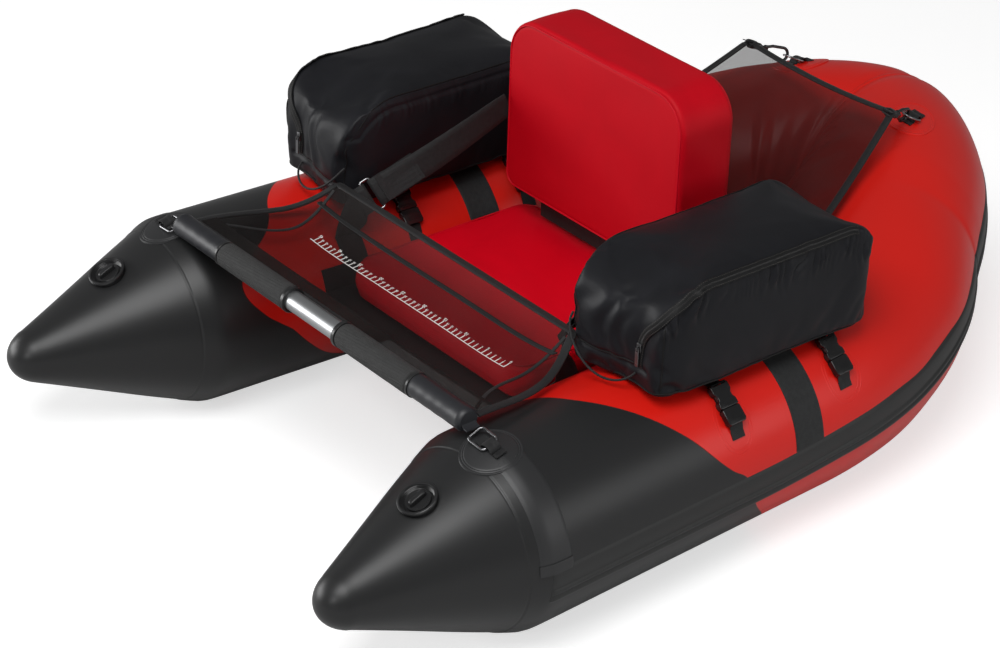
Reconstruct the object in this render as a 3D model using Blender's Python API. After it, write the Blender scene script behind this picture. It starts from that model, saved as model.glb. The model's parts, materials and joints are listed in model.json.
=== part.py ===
"""Float tube: a U-shaped inflatable pontoon seat, built as separate pieces.

Metres, +Z up. Port is +X, the two noses point to -Y, and the origin is on the
floor under the middle of the hull. Pieces are modelled with y counted from the
nose tips, and one parent empty moves them all to the middle.
"""

import math

import bmesh
import bpy
from mathutils import Matrix, Vector
from mathutils.geometry import interpolate_bezier

for leftover in list(bpy.data.objects):
    bpy.data.objects.remove(leftover, do_unlink=True)

UP = Vector((0, 0, 1))
SIDES = {"port": 1, "starboard": -1}

# Clearances
GAP = 0.0003
SKIN_GAP = 0.0005
BOW_PATCH_GAP = 0.0015
STERN_PATCH_GAP = 0.0008
MERGE = 0.00005
CUT_OVERRUN = 0.004

# Hull: two straight arms with cones in front, joined by a raised stern
TUBE_RADIUS = 0.150
STERN_RADIUS = 0.174
STERN_LIFT = 0.050
ARM_X = 0.388
ARM_TOE = 0.0264
ARM_END = 0.888
CONE_LENGTH = 0.294
TIP_RADIUS = 0.0372
TIP_X = 0.401
TIP_HEIGHT = 0.147
CONE_BULGE_SHARE = 0.132
SHOULDER_X = 0.218
SHOULDER_Y = 1.2326
SHOULDER_HEADING = math.radians(137.5)
STERN_Y = 1.440
RISE_START = 1.000
ARM_HANDLE = 0.1251
SHOULDER_HANDLE_FORE = 0.1271
SHOULDER_HANDLE_AFT = 0.0701
STERN_HANDLE = 0.0744
INNER_FOLD_SHARE = 0.80
RING_SIDES = 28
TIP_RINGS = 4
CONE_STEPS = 5
ARM_STEPS = 4
STERN_STEPS = 6
HALF_STEP = math.pi / RING_SIDES

# How finely skins, patches and cushions are divided
SKIN_PROBE = 0.004
SKIN_PROBE_TURN = math.radians(1.5)
SKIN_STEP = 0.024
SKIN_TURN_STEP = math.radians(8)
MIN_CORNER_SHARE = 0.35
CROWN_SHARES = (0.72, 0.42, 0.14)
EDGE_ROUND_SHARE = 0.29
PATCH_SIDES = 16
PATCH_SHARES = (0.05, 0.36, 0.68, 1.0)
RING_ARC_STEPS = 4
WIRE_SIDES = 6

# Welded baffle between the two air chambers
BULKHEAD_THICKNESS = 0.003
SEAM_BEAD = 0.0015

# Rubbing strake along the outside
STRAKE_WIDTH = 0.060
STRAKE_THICKNESS = 0.0042
STRAKE_START = 0.290
STRAKE_ANGLE_ARM = math.radians(-5.5)
STRAKE_ANGLE_STERN = math.radians(4.5)
STRAKE_RISE_FROM = 0.700
STRAKE_RISE_TO = 1.150
STRAKE_OUTER_SHARES = (
    (-0.50, 0.30), (-0.42, 0.55), (-0.32, 1.0), (-0.22, 0.55), (-0.12, 1.0),
    (-0.02, 0.55), (0.10, 0.62), (0.42, 0.62), (0.50, 0.30),
)
STRAKE_INNER_SHARES = (0.50, 0.25, 0.0, -0.25, -0.50)

# Inflation valves on top of the cones
VALVE_Y = 0.175
VALVE_RADIUS = 0.0295
VALVE_RIM = 0.0045
VALVE_RIM_HEIGHT = 0.0022
VALVE_DEPTH = 0.018
VALVE_RECESS = 0.0085
VALVE_BORE = 0.0070
VALVE_EDGE = 0.0012
CAP_RADIUS = 0.0190
CAP_THICKNESS = 0.0035
CAP_STEM_LENGTH = 0.0060
CAP_WING_LENGTH = 0.0300
CAP_WING_WIDTH = 0.0085
CAP_WING_HEIGHT = 0.0080
CAP_CLEARANCE = 0.0004
WING_TAPER_SHARE = 0.90
WING_TOP_SHARE = 0.72
WING_ROUND_STEPS = 3
VALVE_SIDES = 20

# Bow patches: a round welded patch with a tail strap and a webbing loop
BOW_PATCH_Y = 0.290
BOW_PATCH_ANGLE = math.radians(84)
BOW_PATCH_RADIUS = 0.045
PATCH_THICKNESS = 0.0022
PATCH_BEVEL = 0.004
TAIL_WIDTH = 0.050
TAIL_THICKNESS = 0.0016
TAIL_OFFSET = 0.010
LOOP_WIDTH = 0.022
LOOP_STRAP = 0.0020
LOOP_HALF_SPAN = 0.0120
LOOP_RISE = 0.0085
LOOP_ARCH_STEPS = 8
BOW_RING_LENGTH = 0.034
BOW_RING_WIDTH = 0.028
BOW_RING_WIRE = 0.0017
BOW_RING_BEND = 0.006

# Spreader bar
BAR_Y = 0.288
BAR_RADIUS = 0.0155
BAR_BARE_HALF = 0.061
BAR_CORNER = 0.0010
GRIP_END = 0.240
GRIP_THICKNESS = 0.0035
SLEEVE_THICKNESS = 0.0030
BAR_END = 0.358
SLEEVE_CAP = 0.003
TONGUE_WIDTH = 0.025
TONGUE_THICKNESS = 0.003
BAR_SIDES = 20
SLEEVE_RADIUS = BAR_RADIUS + SLEEVE_THICKNESS
GRIP_RADIUS = BAR_RADIUS + GRIP_THICKNESS

# Stripping apron behind the bar
APRON_REAR_Y = 0.530
APRON_FRONT_HALF = 0.345
APRON_REAR_HALF = 0.283
APRON_REAR_RISE = 0.024
APRON_VALLEY_DROP = 0.029
APRON_VALLEY_SHARE = 0.62
APRON_THICKNESS = 0.0022
BINDING_WIDTH = 0.014
BINDING_THICKNESS = 0.0034
RULER_LENGTH = 0.458
RULER_WIDTH = 0.016
RULER_THICKNESS = 0.0010
RULER_Y = 0.455
APRON_COLUMNS = 10
APRON_ROWS = 8

# Seat
SEAT_FRONT = 0.500
SEAT_REAR = 0.862
SEAT_TOP = 0.252
SEAT_THICKNESS = 0.058
SEAT_SIDE_CLEARANCE = 0.006
SEAT_CORNER = 0.035
SEAT_EDGE = 0.014
SEAT_DRAW = 0.004
SEAT_CROWN = 0.009
SLING_THICKNESS = 0.003
SLING_FLAP_ANGLE = math.radians(150)
SLING_OVERHANG = 0.020
SLING_SAG = 0.006
SEAT_BOTTOM = SEAT_TOP - SEAT_THICKNESS
CUSHION_CORNER_STEPS = 4
SLING_COLUMNS = 6
FLAP_STEPS = 2

# Backrest
BACK_FRONT_Y = 0.800
BACK_THICKNESS = 0.112
BACK_HALF_WIDTH = 0.200
BACK_BOTTOM = 0.300
BACK_TOP = 0.600
BACK_TOP_CORNER = 0.062
BACK_BOTTOM_CORNER = 0.025
BACK_EDGE = 0.012
BACK_DRAW = 0.004
BACK_CROWN = 0.006
FLAP_HALF_WIDTH = 0.142
FLAP_THICKNESS = 0.003
FLAP_Y = 0.832

# Backrest straps and their frame buckles
STRAP_WIDTH = 0.046
STRAP_THICKNESS = 0.0024
STRAP_TOP_Y = 0.842
STRAP_TOP_HEIGHT = 0.458
STRAP_SIDE_GAP = 0.0008
STRAP_BUCKLE_X = 0.247
STRAP_BUCKLE_Y = 0.572
STRAP_BUCKLE_HEIGHT = 0.330
STRAP_ANCHOR_Y = 0.545
STRAP_ANCHOR_ANGLE = math.radians(134)
FRAME_WIRE = 0.0024
FRAME_SLOT = 0.0120
STRAP_ROLL_SHARES = (0.8, 0.6)
STRAP_STATIONS = 8
FOLD_STEPS = 5
FOLD_LENGTH = 0.016

# Side bags
BAG_X = 0.3665
BAG_FRONT = 0.552
BAG_LENGTH = 0.398
BAG_HALF_WIDTH = 0.0925
BAG_TOP = 0.494
BAG_CORNER = 0.038
BAG_BOTTOM_ROUND = 0.026
BAG_TOP_ROUND = 0.034
BAG_TOP_CROWN = 0.008
BAG_LOWER_SHARES = ((1.6, 0.20), (0.60, 0.55), (0, 1.4))
BAG_UPPER_SHARES = ((0, 0), (0.28, 0.68), (1, 1))
ZIP_X = 0.412
ZIP_HEIGHT = 0.372
ZIP_BODY_WIDTH = 0.010
ZIP_BODY_LENGTH = 0.014
ZIP_BODY_DEPTH = 0.005
ZIP_BODY_SHARES = ((-1, 0), (-0.6, -1), (0.6, -1), (1, 0), (0.8, 1), (-0.8, 1))
PULL_WIDTH = 0.007
PULL_LENGTH = 0.030
PULL_THICKNESS = 0.0018
PULL_ROUND_SHARE = 0.8
PULL_ROUND_STEPS = 3
PULL_BAR_HALF = 0.0009
PULL_WINDOW_HALF = 0.0018
PULL_WINDOW_LENGTH = 0.0050
PULL_STAND_OFF = 0.0017
ARCH_HALF_WIDTH = 0.0010
ARCH_HALF_LENGTH = 0.0036
ARCH_INSIDE = 0.0015
ARCH_WALL = 0.0012
LOOP_CORD = 0.0018
LOOP_CORD_DROP = 0.045
LOOP_CORD_SPAN = 0.080
LOOP_CORD_REACH = 0.012
LOOP_CORD_SINK = 0.006
LOOP_CORD_STEPS = 10

# Hold-downs of the bags
BAND_Y = 0.800
BAND_WIDTH = 0.058
BAND_THICKNESS = 0.0020
BAND_INNER_ANGLE = math.radians(148)
WEBBING_WIDTH = 0.025
WEBBING_THICKNESS = 0.0018
WEBBING_TOP_ANGLE = math.radians(82)
BUCKLE_FRONT_Y = 0.664
BUCKLE_REAR_Y = 0.889
BUCKLE_OUTER_ANGLE = math.radians(47)
BUCKLE_INNER_ANGLE = math.radians(131)
BUCKLE_WIDTH = 0.033
BUCKLE_DEPTH = 0.0105
SOCKET_LENGTH = 0.034
SOCKET_WALL = 0.0022
SOCKET_FLOOR = 0.0040
PLUG_HEAD = 0.020
PLUG_CLEARANCE = 0.0006
PRONG_WIDTH = 0.0046
PRONG_LENGTH = 0.026
PRONG_ROOT = 0.002
GUIDE_WIDTH = 0.0040
GUIDE_LENGTH = 0.020
SCALLOP_RADIUS = 0.0100
SCALLOP_OFFSET = 0.0065
SCALLOP_PLACE = 0.0170
BUCKLE_CORNER = 0.004
BUCKLE_CORNER_STEPS = 2
TAB_SINK = 0.0036
TAB_ANGLE = math.radians(17.5)
TAB_START_ANGLE = math.radians(14.5)
WEBBING_START_ANGLE = math.radians(16)

# Stern rings, hooks and cargo net
STERN_RING_REACH = 0.030
STERN_RING_WIDTH = 0.030
STERN_RING_WIRE = 0.0020
STERN_PATCH_INSET = 0.145
STERN_PATCH_ANGLE = math.radians(80)
STERN_PATCH_RADIUS = 0.042
NET_AIM_X = 0.160
NET_AIM_Y = 1.300
NET_AIM_HEIGHT = 0.430
HOOK_WIRE = 0.0026
HOOK_SHANK = 0.034
HOOK_BEND = 0.0110
HOOK_SLACK = 0.0005
HOOK_NECK = 0.0035
HOOK_TIP = 0.007
HOOK_BASE_LENGTH = 0.020
HOOK_BASE_WIDTH = 0.022
HOOK_BASE_DEPTH = 0.008
GATE_WIRE = 0.0018
GATE_CLEARANCE = 0.0009
NECK_WIDTH_SHARE = 0.55
HOOK_ARC_STEPS = 7
HOOK_SIDES = 8
NET_CORNER_MARGIN = 0.0165
NET_FRONT_Y = 0.965
NET_FRONT_ANGLE = math.radians(126)
NET_EDGE_SAG = 0.014
NET_MIDDLE_SAG = 0.035
MIDDLE_SAG_SHARE = 0.35
NET_THICKNESS = 0.0020
NET_BINDING_WIDTH = 0.012
NET_BINDING_THICKNESS = 0.0030
NET_COLUMNS = 8
NET_ROWS = 7


PALETTE = {
    "hull_red": ((0.60, 0.03, 0.02), 0.35, 0.0),
    "weld_black": ((0.015, 0.015, 0.016), 0.55, 0.0),
    "plastic_black": ((0.012, 0.012, 0.013), 0.35, 0.0),
    "foam_grey": ((0.035, 0.037, 0.042), 0.85, 0.0),
    "aluminium": ((0.70, 0.71, 0.73), 0.30, 1.0),
    "steel": ((0.75, 0.75, 0.76), 0.18, 1.0),
    "webbing_black": ((0.014, 0.014, 0.015), 0.80, 0.0),
    "mesh_black": ((0.022, 0.012, 0.012), 0.80, 0.0),
    "ruler_white": ((0.80, 0.80, 0.78), 0.55, 0.0),
    "seat_red": ((0.50, 0.005, 0.012), 0.70, 0.0),
    "bag_black": ((0.018, 0.018, 0.021), 0.50, 0.0),
}


def material(name):
    """The named Principled material, made once."""
    found = bpy.data.materials.get(name)
    if found:
        return found
    colour, roughness, metallic = PALETTE[name]
    made = bpy.data.materials.new(name)
    made.use_nodes = True
    shader = made.node_tree.nodes["Principled BSDF"]
    shader.inputs["Base Color"].default_value = (*colour, 1)
    shader.inputs["Roughness"].default_value = roughness
    shader.inputs["Metallic"].default_value = metallic
    return made


def add_piece(name, bm, slot, origin=None):
    """Turn a closed bmesh into a named object with its origin at a point."""
    pivot = Vector((0, 0, 0)) if origin is None else origin
    bmesh.ops.remove_doubles(bm, verts=bm.verts, dist=MERGE)
    bmesh.ops.recalc_face_normals(bm, faces=bm.faces)
    bmesh.ops.translate(bm, verts=bm.verts, vec=-pivot)
    mesh = bpy.data.meshes.new(name)
    bm.to_mesh(mesh)
    bm.free()
    mesh.materials.append(material(slot))
    mesh.shade_smooth()
    mesh.set_sharp_from_angle(angle=math.radians(35))
    piece = bpy.data.objects.new(name, mesh)
    bpy.context.collection.objects.link(piece)
    piece.parent = hull_middle
    piece.location = pivot
    return piece


def combine(target, bm, operation):
    """Add or cut a closed bmesh with an exact Boolean modifier."""
    tool = add_piece(target.name + "_" + operation.lower(), bm, "weld_black")
    tool.hide_render = True
    tool.display_type = "WIRE"
    step = target.modifiers.new(operation.title(), "BOOLEAN")
    step.operation = operation
    step.solver = "EXACT"
    step.object = tool


def loft(rings, first=None, last=None, closed=False):
    """Skin a list of equal rings, closed in a loop, capped, or run to a point."""
    bm = bmesh.new()
    rows = [[bm.verts.new(point) for point in ring] for ring in rings]
    count = len(rows[0])
    pairs = list(zip(rows, rows[1:]))
    if closed:
        pairs.append((rows[-1], rows[0]))
    for low, high in pairs:
        for i in range(count):
            j = (i + 1) % count
            bm.faces.new((low[i], low[j], high[j], high[i]))
    if closed:
        return bm
    for row, apex in ((rows[0], first), (rows[-1], last)):
        if apex is None:
            bm.faces.new(row)
            continue
        tip = bm.verts.new(apex)
        for i in range(count):
            bm.faces.new((row[i], row[(i + 1) % count], tip))
    return bm


def slab(lower, upper):
    """A closed sheet between two grids of points."""
    bm = bmesh.new()
    low = [[bm.verts.new(point) for point in row] for row in lower]
    high = [[bm.verts.new(point) for point in row] for row in upper]
    rows, columns = len(low), len(low[0])
    for i in range(rows - 1):
        for j in range(columns - 1):
            bm.faces.new((low[i][j], low[i + 1][j], low[i + 1][j + 1], low[i][j + 1]))
            bm.faces.new((high[i][j], high[i][j + 1], high[i + 1][j + 1], high[i + 1][j]))
    rim = [(0, j) for j in range(columns)]
    rim += [(i, columns - 1) for i in range(1, rows)]
    rim += [(rows - 1, j) for j in reversed(range(columns - 1))]
    rim += [(i, 0) for i in reversed(range(1, rows - 1))]
    for (a, b), (c, d) in zip(rim, rim[1:] + rim[:1]):
        bm.faces.new((low[a][b], low[c][d], high[c][d], high[a][b]))
    return bm


def prism(outline, depth, frame):
    """A flat outline in the frame's XY plane, extruded both ways along its Z."""
    rings = []
    for height in (-depth / 2, depth / 2):
        rings.append([frame @ Vector((x, y, height)) for x, y in outline])
    return loft(rings)


def box(low, high, frame):
    """A box between two corners given in a frame."""
    outline = ((low[0], low[1]), (high[0], low[1]), (high[0], high[1]), (low[0], high[1]))
    rings = [[frame @ Vector((x, y, z)) for x, y in outline] for z in (low[2], high[2])]
    return loft(rings)


def turned(profile, sides, frame):
    """Revolve (radius, height) points about the frame's Z axis, capped at both ends."""
    rings = []
    for radius, height in profile:
        ring = []
        for k in range(sides):
            turn = math.tau * k / sides
            ring.append(frame @ Vector((radius * math.cos(turn), radius * math.sin(turn), height)))
        rings.append(ring)
    return loft(rings)


def turned_shell(profile, sides, frame):
    """Revolve a closed (radius, height) section that stays clear of the axis."""
    rings = []
    for k in range(sides):
        turn = math.tau * k / sides
        cosine, sine = math.cos(turn), math.sin(turn)
        rings.append([frame @ Vector((r * cosine, r * sine, h)) for r, h in profile])
    return loft(rings, closed=True)


def wire(points, radius, sides, closed=False):
    """A round wire through points, its section turned as little as possible."""
    count = len(points)
    rings = []
    side = None
    for i, point in enumerate(points):
        if closed:
            heading = (points[(i + 1) % count] - points[i - 1]).normalized()
        else:
            heading = (points[min(i + 1, count - 1)] - points[max(i - 1, 0)]).normalized()
        if side is None:
            side = heading.orthogonal().normalized()
        side = (side - heading * side.dot(heading)).normalized()
        across = heading.cross(side)
        ring = []
        for k in range(sides):
            turn = math.tau * k / sides
            ring.append(point + (side * math.cos(turn) + across * math.sin(turn)) * radius)
        rings.append(ring)
    return loft(rings, closed=closed)


def rounded_outline(half_x, half_y, corners, inset, steps):
    """Points of a rectangle with four corner radii, drawn in by an inset."""
    width, height = half_x - inset, half_y - inset
    centres = ((1, 1), (-1, 1), (-1, -1), (1, -1))
    points = []
    for index, (sx, sy) in enumerate(centres):
        radius = max(corners[index] - inset, corners[index] * MIN_CORNER_SHARE)
        for k in range(steps + 1):
            turn = math.pi / 2 * (index + k / steps)
            x = sx * (width - radius) + radius * math.cos(turn)
            y = sy * (height - radius) + radius * math.sin(turn)
            points.append((x, y))
    return points


def padded_block(half_x, half_y, corners, steps, levels, crowns, frame):
    """A stuffed block: outlines stacked along Z, each face crowned to its middle.

    levels holds (inset, height) from the lower rim to the upper rim, and crowns
    the rise of the lower and the upper face at their middles.
    """
    low_crown, high_crown = crowns
    rings = []

    def ring(inset, height, share):
        outline = rounded_outline(half_x, half_y, corners, inset, steps)
        return [frame @ Vector((x * share, y * share, height)) for x, y in outline]

    low_inset, low_height = levels[0]
    for share in reversed(CROWN_SHARES):
        rings.append(ring(low_inset, low_height - low_crown * (1 - share * share), share))
    for inset, height in levels:
        rings.append(ring(inset, height, 1))
    high_inset, high_height = levels[-1]
    for share in CROWN_SHARES:
        rings.append(ring(high_inset, high_height + high_crown * (1 - share * share), share))
    return loft(rings)


def frame_from(origin, x_axis, z_axis):
    """A right-handed frame with the given Z and the X nearest to the one given."""
    z = z_axis.normalized()
    x = (x_axis - z * x_axis.dot(z)).normalized()
    y = z.cross(x)
    rotation = Matrix((x, y, z)).transposed().to_4x4()
    return Matrix.Translation(origin) @ rotation


def blend(low, high, share):
    return low + (high - low) * share


def smooth_step(value, low, high):
    share = min(max((value - low) / (high - low), 0), 1)
    return share * share * (3 - 2 * share)


def tube_radius(y):
    return blend(TUBE_RADIUS, STERN_RADIUS, smooth_step(y, RISE_START, STERN_Y))


def tube_height(y):
    lift = STERN_LIFT * smooth_step(y, RISE_START, STERN_Y)
    return tube_radius(y) * math.cos(HALF_STEP) + lift


def hull_stations():
    """Centre, radius and outward direction of the port tube's rings, nose to stern."""
    centres = []
    radii = []
    arm_height = tube_height(CONE_LENGTH)
    for k in range(CONE_STEPS):
        share = k / CONE_STEPS
        grown = share * (1 + CONE_BULGE_SHARE * (1 - share))
        x = blend(TIP_X, ARM_X, grown)
        y = blend(TIP_RADIUS, CONE_LENGTH, share)
        centres.append(Vector((x, y, blend(TIP_HEIGHT, arm_height, grown))))
        radii.append(blend(TIP_RADIUS, TUBE_RADIUS, grown))
    arm_start = Vector((ARM_X, CONE_LENGTH, 0))
    arm_end = Vector((ARM_X - ARM_TOE, ARM_END, 0))
    arm_heading = (arm_end - arm_start).normalized()
    flat = [arm_start.lerp(arm_end, k / ARM_STEPS) for k in range(ARM_STEPS)]
    shoulder = Vector((SHOULDER_X, SHOULDER_Y, 0))
    heading = Vector((math.cos(SHOULDER_HEADING), math.sin(SHOULDER_HEADING), 0))
    stern = Vector((BULKHEAD_THICKNESS / 2 + GAP, STERN_Y, 0))
    fore = interpolate_bezier(
        arm_end, arm_end + arm_heading * ARM_HANDLE,
        shoulder - heading * SHOULDER_HANDLE_FORE, shoulder, STERN_STEPS + 1)
    aft = interpolate_bezier(
        shoulder, shoulder + heading * SHOULDER_HANDLE_AFT,
        stern + Vector((STERN_HANDLE, 0, 0)), stern, STERN_STEPS + 1)
    flat += fore + aft[1:]
    for point in flat:
        centres.append(Vector((point.x, point.y, tube_height(point.y))))
        radii.append(tube_radius(point.y))
    outward = []
    last = len(centres) - 1
    for i in range(last + 1):
        step = centres[min(i + 1, last)] - centres[max(i - 1, 0)]
        if i == last:
            step = Vector((-1, 0, 0))
        facing = Vector((step.y, -step.x, 0)).normalized()
        if i > CONE_STEPS + ARM_STEPS:
            most = INNER_FOLD_SHARE * centres[i].x / radii[i]
            facing.x = min(facing.x, most)
            facing.y = math.sqrt(1 - facing.x * facing.x)
        outward.append(facing)
    return centres, radii, outward


CENTRES, RADII, OUTWARD = hull_stations()
REACH = [0]
for before, after in zip(CENTRES, CENTRES[1:]):
    REACH.append(REACH[-1] + (after - before).length)


def along_at(y):
    """Distance along the tube at which its centre line passes a given y."""
    for i in range(len(CENTRES) - 1):
        low, high = CENTRES[i].y, CENTRES[i + 1].y
        if low <= y <= high:
            share = (y - low) / (high - low)
            return blend(REACH[i], REACH[i + 1], share)
    return REACH[-1]


def skin(side, along, angle, lift):
    """A point above the tube's skin; the angle runs from the outside over the top."""
    i = 0
    while i < len(REACH) - 2 and REACH[i + 1] < along:
        i += 1
    share = (along - REACH[i]) / (REACH[i + 1] - REACH[i])
    centre = CENTRES[i].lerp(CENTRES[i + 1], share)
    outward = OUTWARD[i].lerp(OUTWARD[i + 1], share)
    reach = blend(RADII[i], RADII[i + 1], share) + lift
    point = centre + outward * (reach * math.cos(angle)) + UP * (reach * math.sin(angle))
    return Vector((side * point.x, point.y, point.z))


def skin_frame(side, along, angle, lift):
    """A frame on the skin: X along the tube, Y on over the tube, Z straight out of it.

    X runs to the stern on the port side and to the nose on the starboard side.
    """
    here = skin(side, along, angle, lift)
    ahead = skin(side, along + SKIN_PROBE, angle, lift) - skin(side, along - SKIN_PROBE, angle, lift)
    around = skin(side, along, angle + SKIN_PROBE_TURN, lift) - here
    return frame_from(here, ahead * side, ahead.cross(around) * side)


def steps_between(low, high, size):
    count = max(1, math.ceil(abs(high - low) / size))
    return [blend(low, high, k / count) for k in range(count + 1)]


def stations_between(low, high, size):
    """Even places along the tube, with the hull's own rings among them."""
    places = [s for s in REACH if low + MERGE < s < high - MERGE]
    for s in steps_between(low, high, size):
        if all(abs(s - place) > size / 2 for place in places) or s in (low, high):
            places.append(s)
    return sorted(places)


def skin_band(side, low, high, first_angle, last_angle, lift, thickness):
    """A strap laid on the skin, between two places along and two angles round it."""
    lower = []
    upper = []
    for angle in steps_between(first_angle, last_angle, SKIN_TURN_STEP):
        places = stations_between(low, high, SKIN_STEP)
        lower.append([skin(side, s, angle, lift) for s in places])
        upper.append([skin(side, s, angle, lift + thickness) for s in places])
    return slab(lower, upper)


def skin_patch(side, along, angle, radius, lift, thickness):
    """A round patch welded on the skin, with a bevelled rim."""
    size = (skin(side, along, angle, 0) - skin(side, along, angle + math.pi, 0)).length / 2
    profile = [(share * radius, lift) for share in PATCH_SHARES]
    top = lift + thickness
    profile.append((radius, lift + thickness / 3))
    profile += [(share * (radius - PATCH_BEVEL), top) for share in reversed(PATCH_SHARES)]
    rings = []
    for reach, height in profile:
        ring = []
        for k in range(PATCH_SIDES):
            turn = math.tau * k / PATCH_SIDES
            offset = reach * math.cos(turn)
            swing = reach * math.sin(turn) / size
            ring.append(skin(side, along + offset, angle + swing, height))
        rings.append(ring)
    return loft(rings)


def webbing_loop(frame, foot):
    """A strap arch over a tunnel along the frame's X; its feet sink to the given depth."""
    lower = []
    upper = []
    for k in range(-1, LOOP_ARCH_STEPS + 2):
        turn = math.pi * min(max(k / LOOP_ARCH_STEPS, 0), 1)
        sink = -foot if k in (-1, LOOP_ARCH_STEPS + 1) else 0
        inner = (LOOP_HALF_SPAN - LOOP_STRAP, LOOP_RISE - LOOP_STRAP)
        outer = (LOOP_HALF_SPAN, LOOP_RISE)
        rows = []
        for across, rise in (inner, outer):
            y = across * math.cos(turn)
            z = rise * math.sin(turn) + sink
            rows.append([frame @ Vector((x, y, z)) for x in (-LOOP_WIDTH / 2, LOOP_WIDTH / 2)])
        lower.append(rows[0])
        upper.append(rows[1])
    return slab(lower, upper)


hull_middle = bpy.data.objects.new("hull_middle", None)
bpy.context.collection.objects.link(hull_middle)
OVERALL_LENGTH = STERN_Y + STERN_RADIUS + SKIN_GAP + STRAKE_THICKNESS
hull_middle.location = (0, -OVERALL_LENGTH / 2, 0)


def air_chamber(name, side):
    """One inflated half of the hull: round nose, cone, arm and half the stern."""
    rings = []
    for k in range(1, TIP_RINGS):
        turn = math.pi / 2 * k / TIP_RINGS
        centre = CENTRES[0] - Vector((0, TIP_RADIUS * math.cos(turn), 0))
        rings.append((centre, TIP_RADIUS * math.sin(turn), OUTWARD[0]))
    rings += list(zip(CENTRES, RADII, OUTWARD))
    skinned = []
    for centre, radius, outward in rings:
        ring = []
        for k in range(RING_SIDES):
            angle = HALF_STEP * (2 * k + 1)
            spoke = outward * math.cos(angle) + UP * math.sin(angle)
            point = centre + spoke * radius
            ring.append(Vector((side * point.x, point.y, point.z)))
        skinned.append(ring)
    nose = CENTRES[0] - Vector((0, TIP_RADIUS, 0))
    bm = loft(skinned, first=Vector((side * nose.x, nose.y, nose.z)))
    return add_piece(name + "_air_chamber", bm, "hull_red")


def stern_bulkhead():
    """The welded baffle disc in the middle of the stern, its rim a raised seam."""
    centre = Vector((0, STERN_Y, tube_height(STERN_Y)))
    frame = frame_from(centre, Vector((0, 1, 0)), Vector((1, 0, 0)))
    radius = STERN_RADIUS + SEAM_BEAD
    half = BULKHEAD_THICKNESS / 2
    profile = [(radius - half, -half), (radius, 0), (radius - half, half)]
    add_piece("stern_bulkhead", turned(profile, RING_SIDES, frame), "hull_red", centre)


def strake_angle(y):
    rise = smooth_step(y, STRAKE_RISE_FROM, STRAKE_RISE_TO)
    return blend(STRAKE_ANGLE_ARM, STRAKE_ANGLE_STERN, rise)


def rub_strake(name, side):
    """The ridged strake from the cone to the middle of the stern."""
    rings = []
    for s in stations_between(along_at(STRAKE_START), REACH[-1], STRAKE_WIDTH * 2):
        y = skin(side, s, math.pi / 2, 0).y
        radius = tube_radius(y)
        middle = strake_angle(y)
        ring = []
        for across, rise in STRAKE_OUTER_SHARES:
            angle = middle + across * STRAKE_WIDTH / radius
            ring.append(skin(side, s, angle, SKIN_GAP + rise * STRAKE_THICKNESS))
        for across in STRAKE_INNER_SHARES:
            ring.append(skin(side, s, middle + across * STRAKE_WIDTH / radius, SKIN_GAP))
        rings.append(ring)
    add_piece(name + "_rub_strake", loft(rings), "weld_black")


def valve(name, side, chamber):
    """A recessed inflation valve let into the cone, and its winged screw cap."""
    frame = skin_frame(side, along_at(VALVE_Y), math.pi / 2, 0)
    rim = VALVE_RIM_HEIGHT
    floor = rim - VALVE_RECESS
    pocket = [(VALVE_RADIUS + GAP, -VALVE_DEPTH - GAP), (VALVE_RADIUS + GAP, VALVE_DEPTH)]
    combine(chamber, turned(pocket, VALVE_SIDES, frame), "DIFFERENCE")
    recess = VALVE_RADIUS - VALVE_RIM
    body = [
        (VALVE_BORE, -VALVE_DEPTH), (VALVE_RADIUS, -VALVE_DEPTH), (VALVE_RADIUS, rim - VALVE_EDGE),
        (VALVE_RADIUS - VALVE_EDGE, rim), (recess + VALVE_EDGE, rim), (recess, rim - VALVE_EDGE),
        (CAP_RADIUS + VALVE_EDGE, floor), (VALVE_BORE, floor),
    ]
    add_piece(name + "_valve_body", turned_shell(body, VALVE_SIDES, frame), "plastic_black")
    seat = floor + CAP_CLEARANCE
    top = seat + CAP_THICKNESS
    stem = VALVE_BORE - CAP_CLEARANCE
    profile = [
        (stem - VALVE_EDGE, seat - CAP_STEM_LENGTH), (stem, seat - CAP_STEM_LENGTH + VALVE_EDGE),
        (stem, seat), (CAP_RADIUS, seat), (CAP_RADIUS, top - VALVE_EDGE), (CAP_RADIUS - VALVE_EDGE, top),
    ]
    cap = add_piece(name + "_valve_cap", turned(profile, VALVE_SIDES, frame), "plastic_black",
                    frame.translation)
    half_length = CAP_WING_LENGTH / 2
    half_width = CAP_WING_WIDTH / 2
    outline = rounded_outline(half_length, half_width, [half_width] * 4, 0, WING_ROUND_STEPS)
    rings = []
    for height, share in ((top - VALVE_EDGE, 1), (top + CAP_WING_HEIGHT - VALVE_EDGE, WING_TAPER_SHARE),
                          (top + CAP_WING_HEIGHT, WING_TOP_SHARE)):
        rings.append([frame @ Vector((x * share, y * share, height)) for x, y in outline])
    combine(cap, loft(rings), "UNION")


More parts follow.
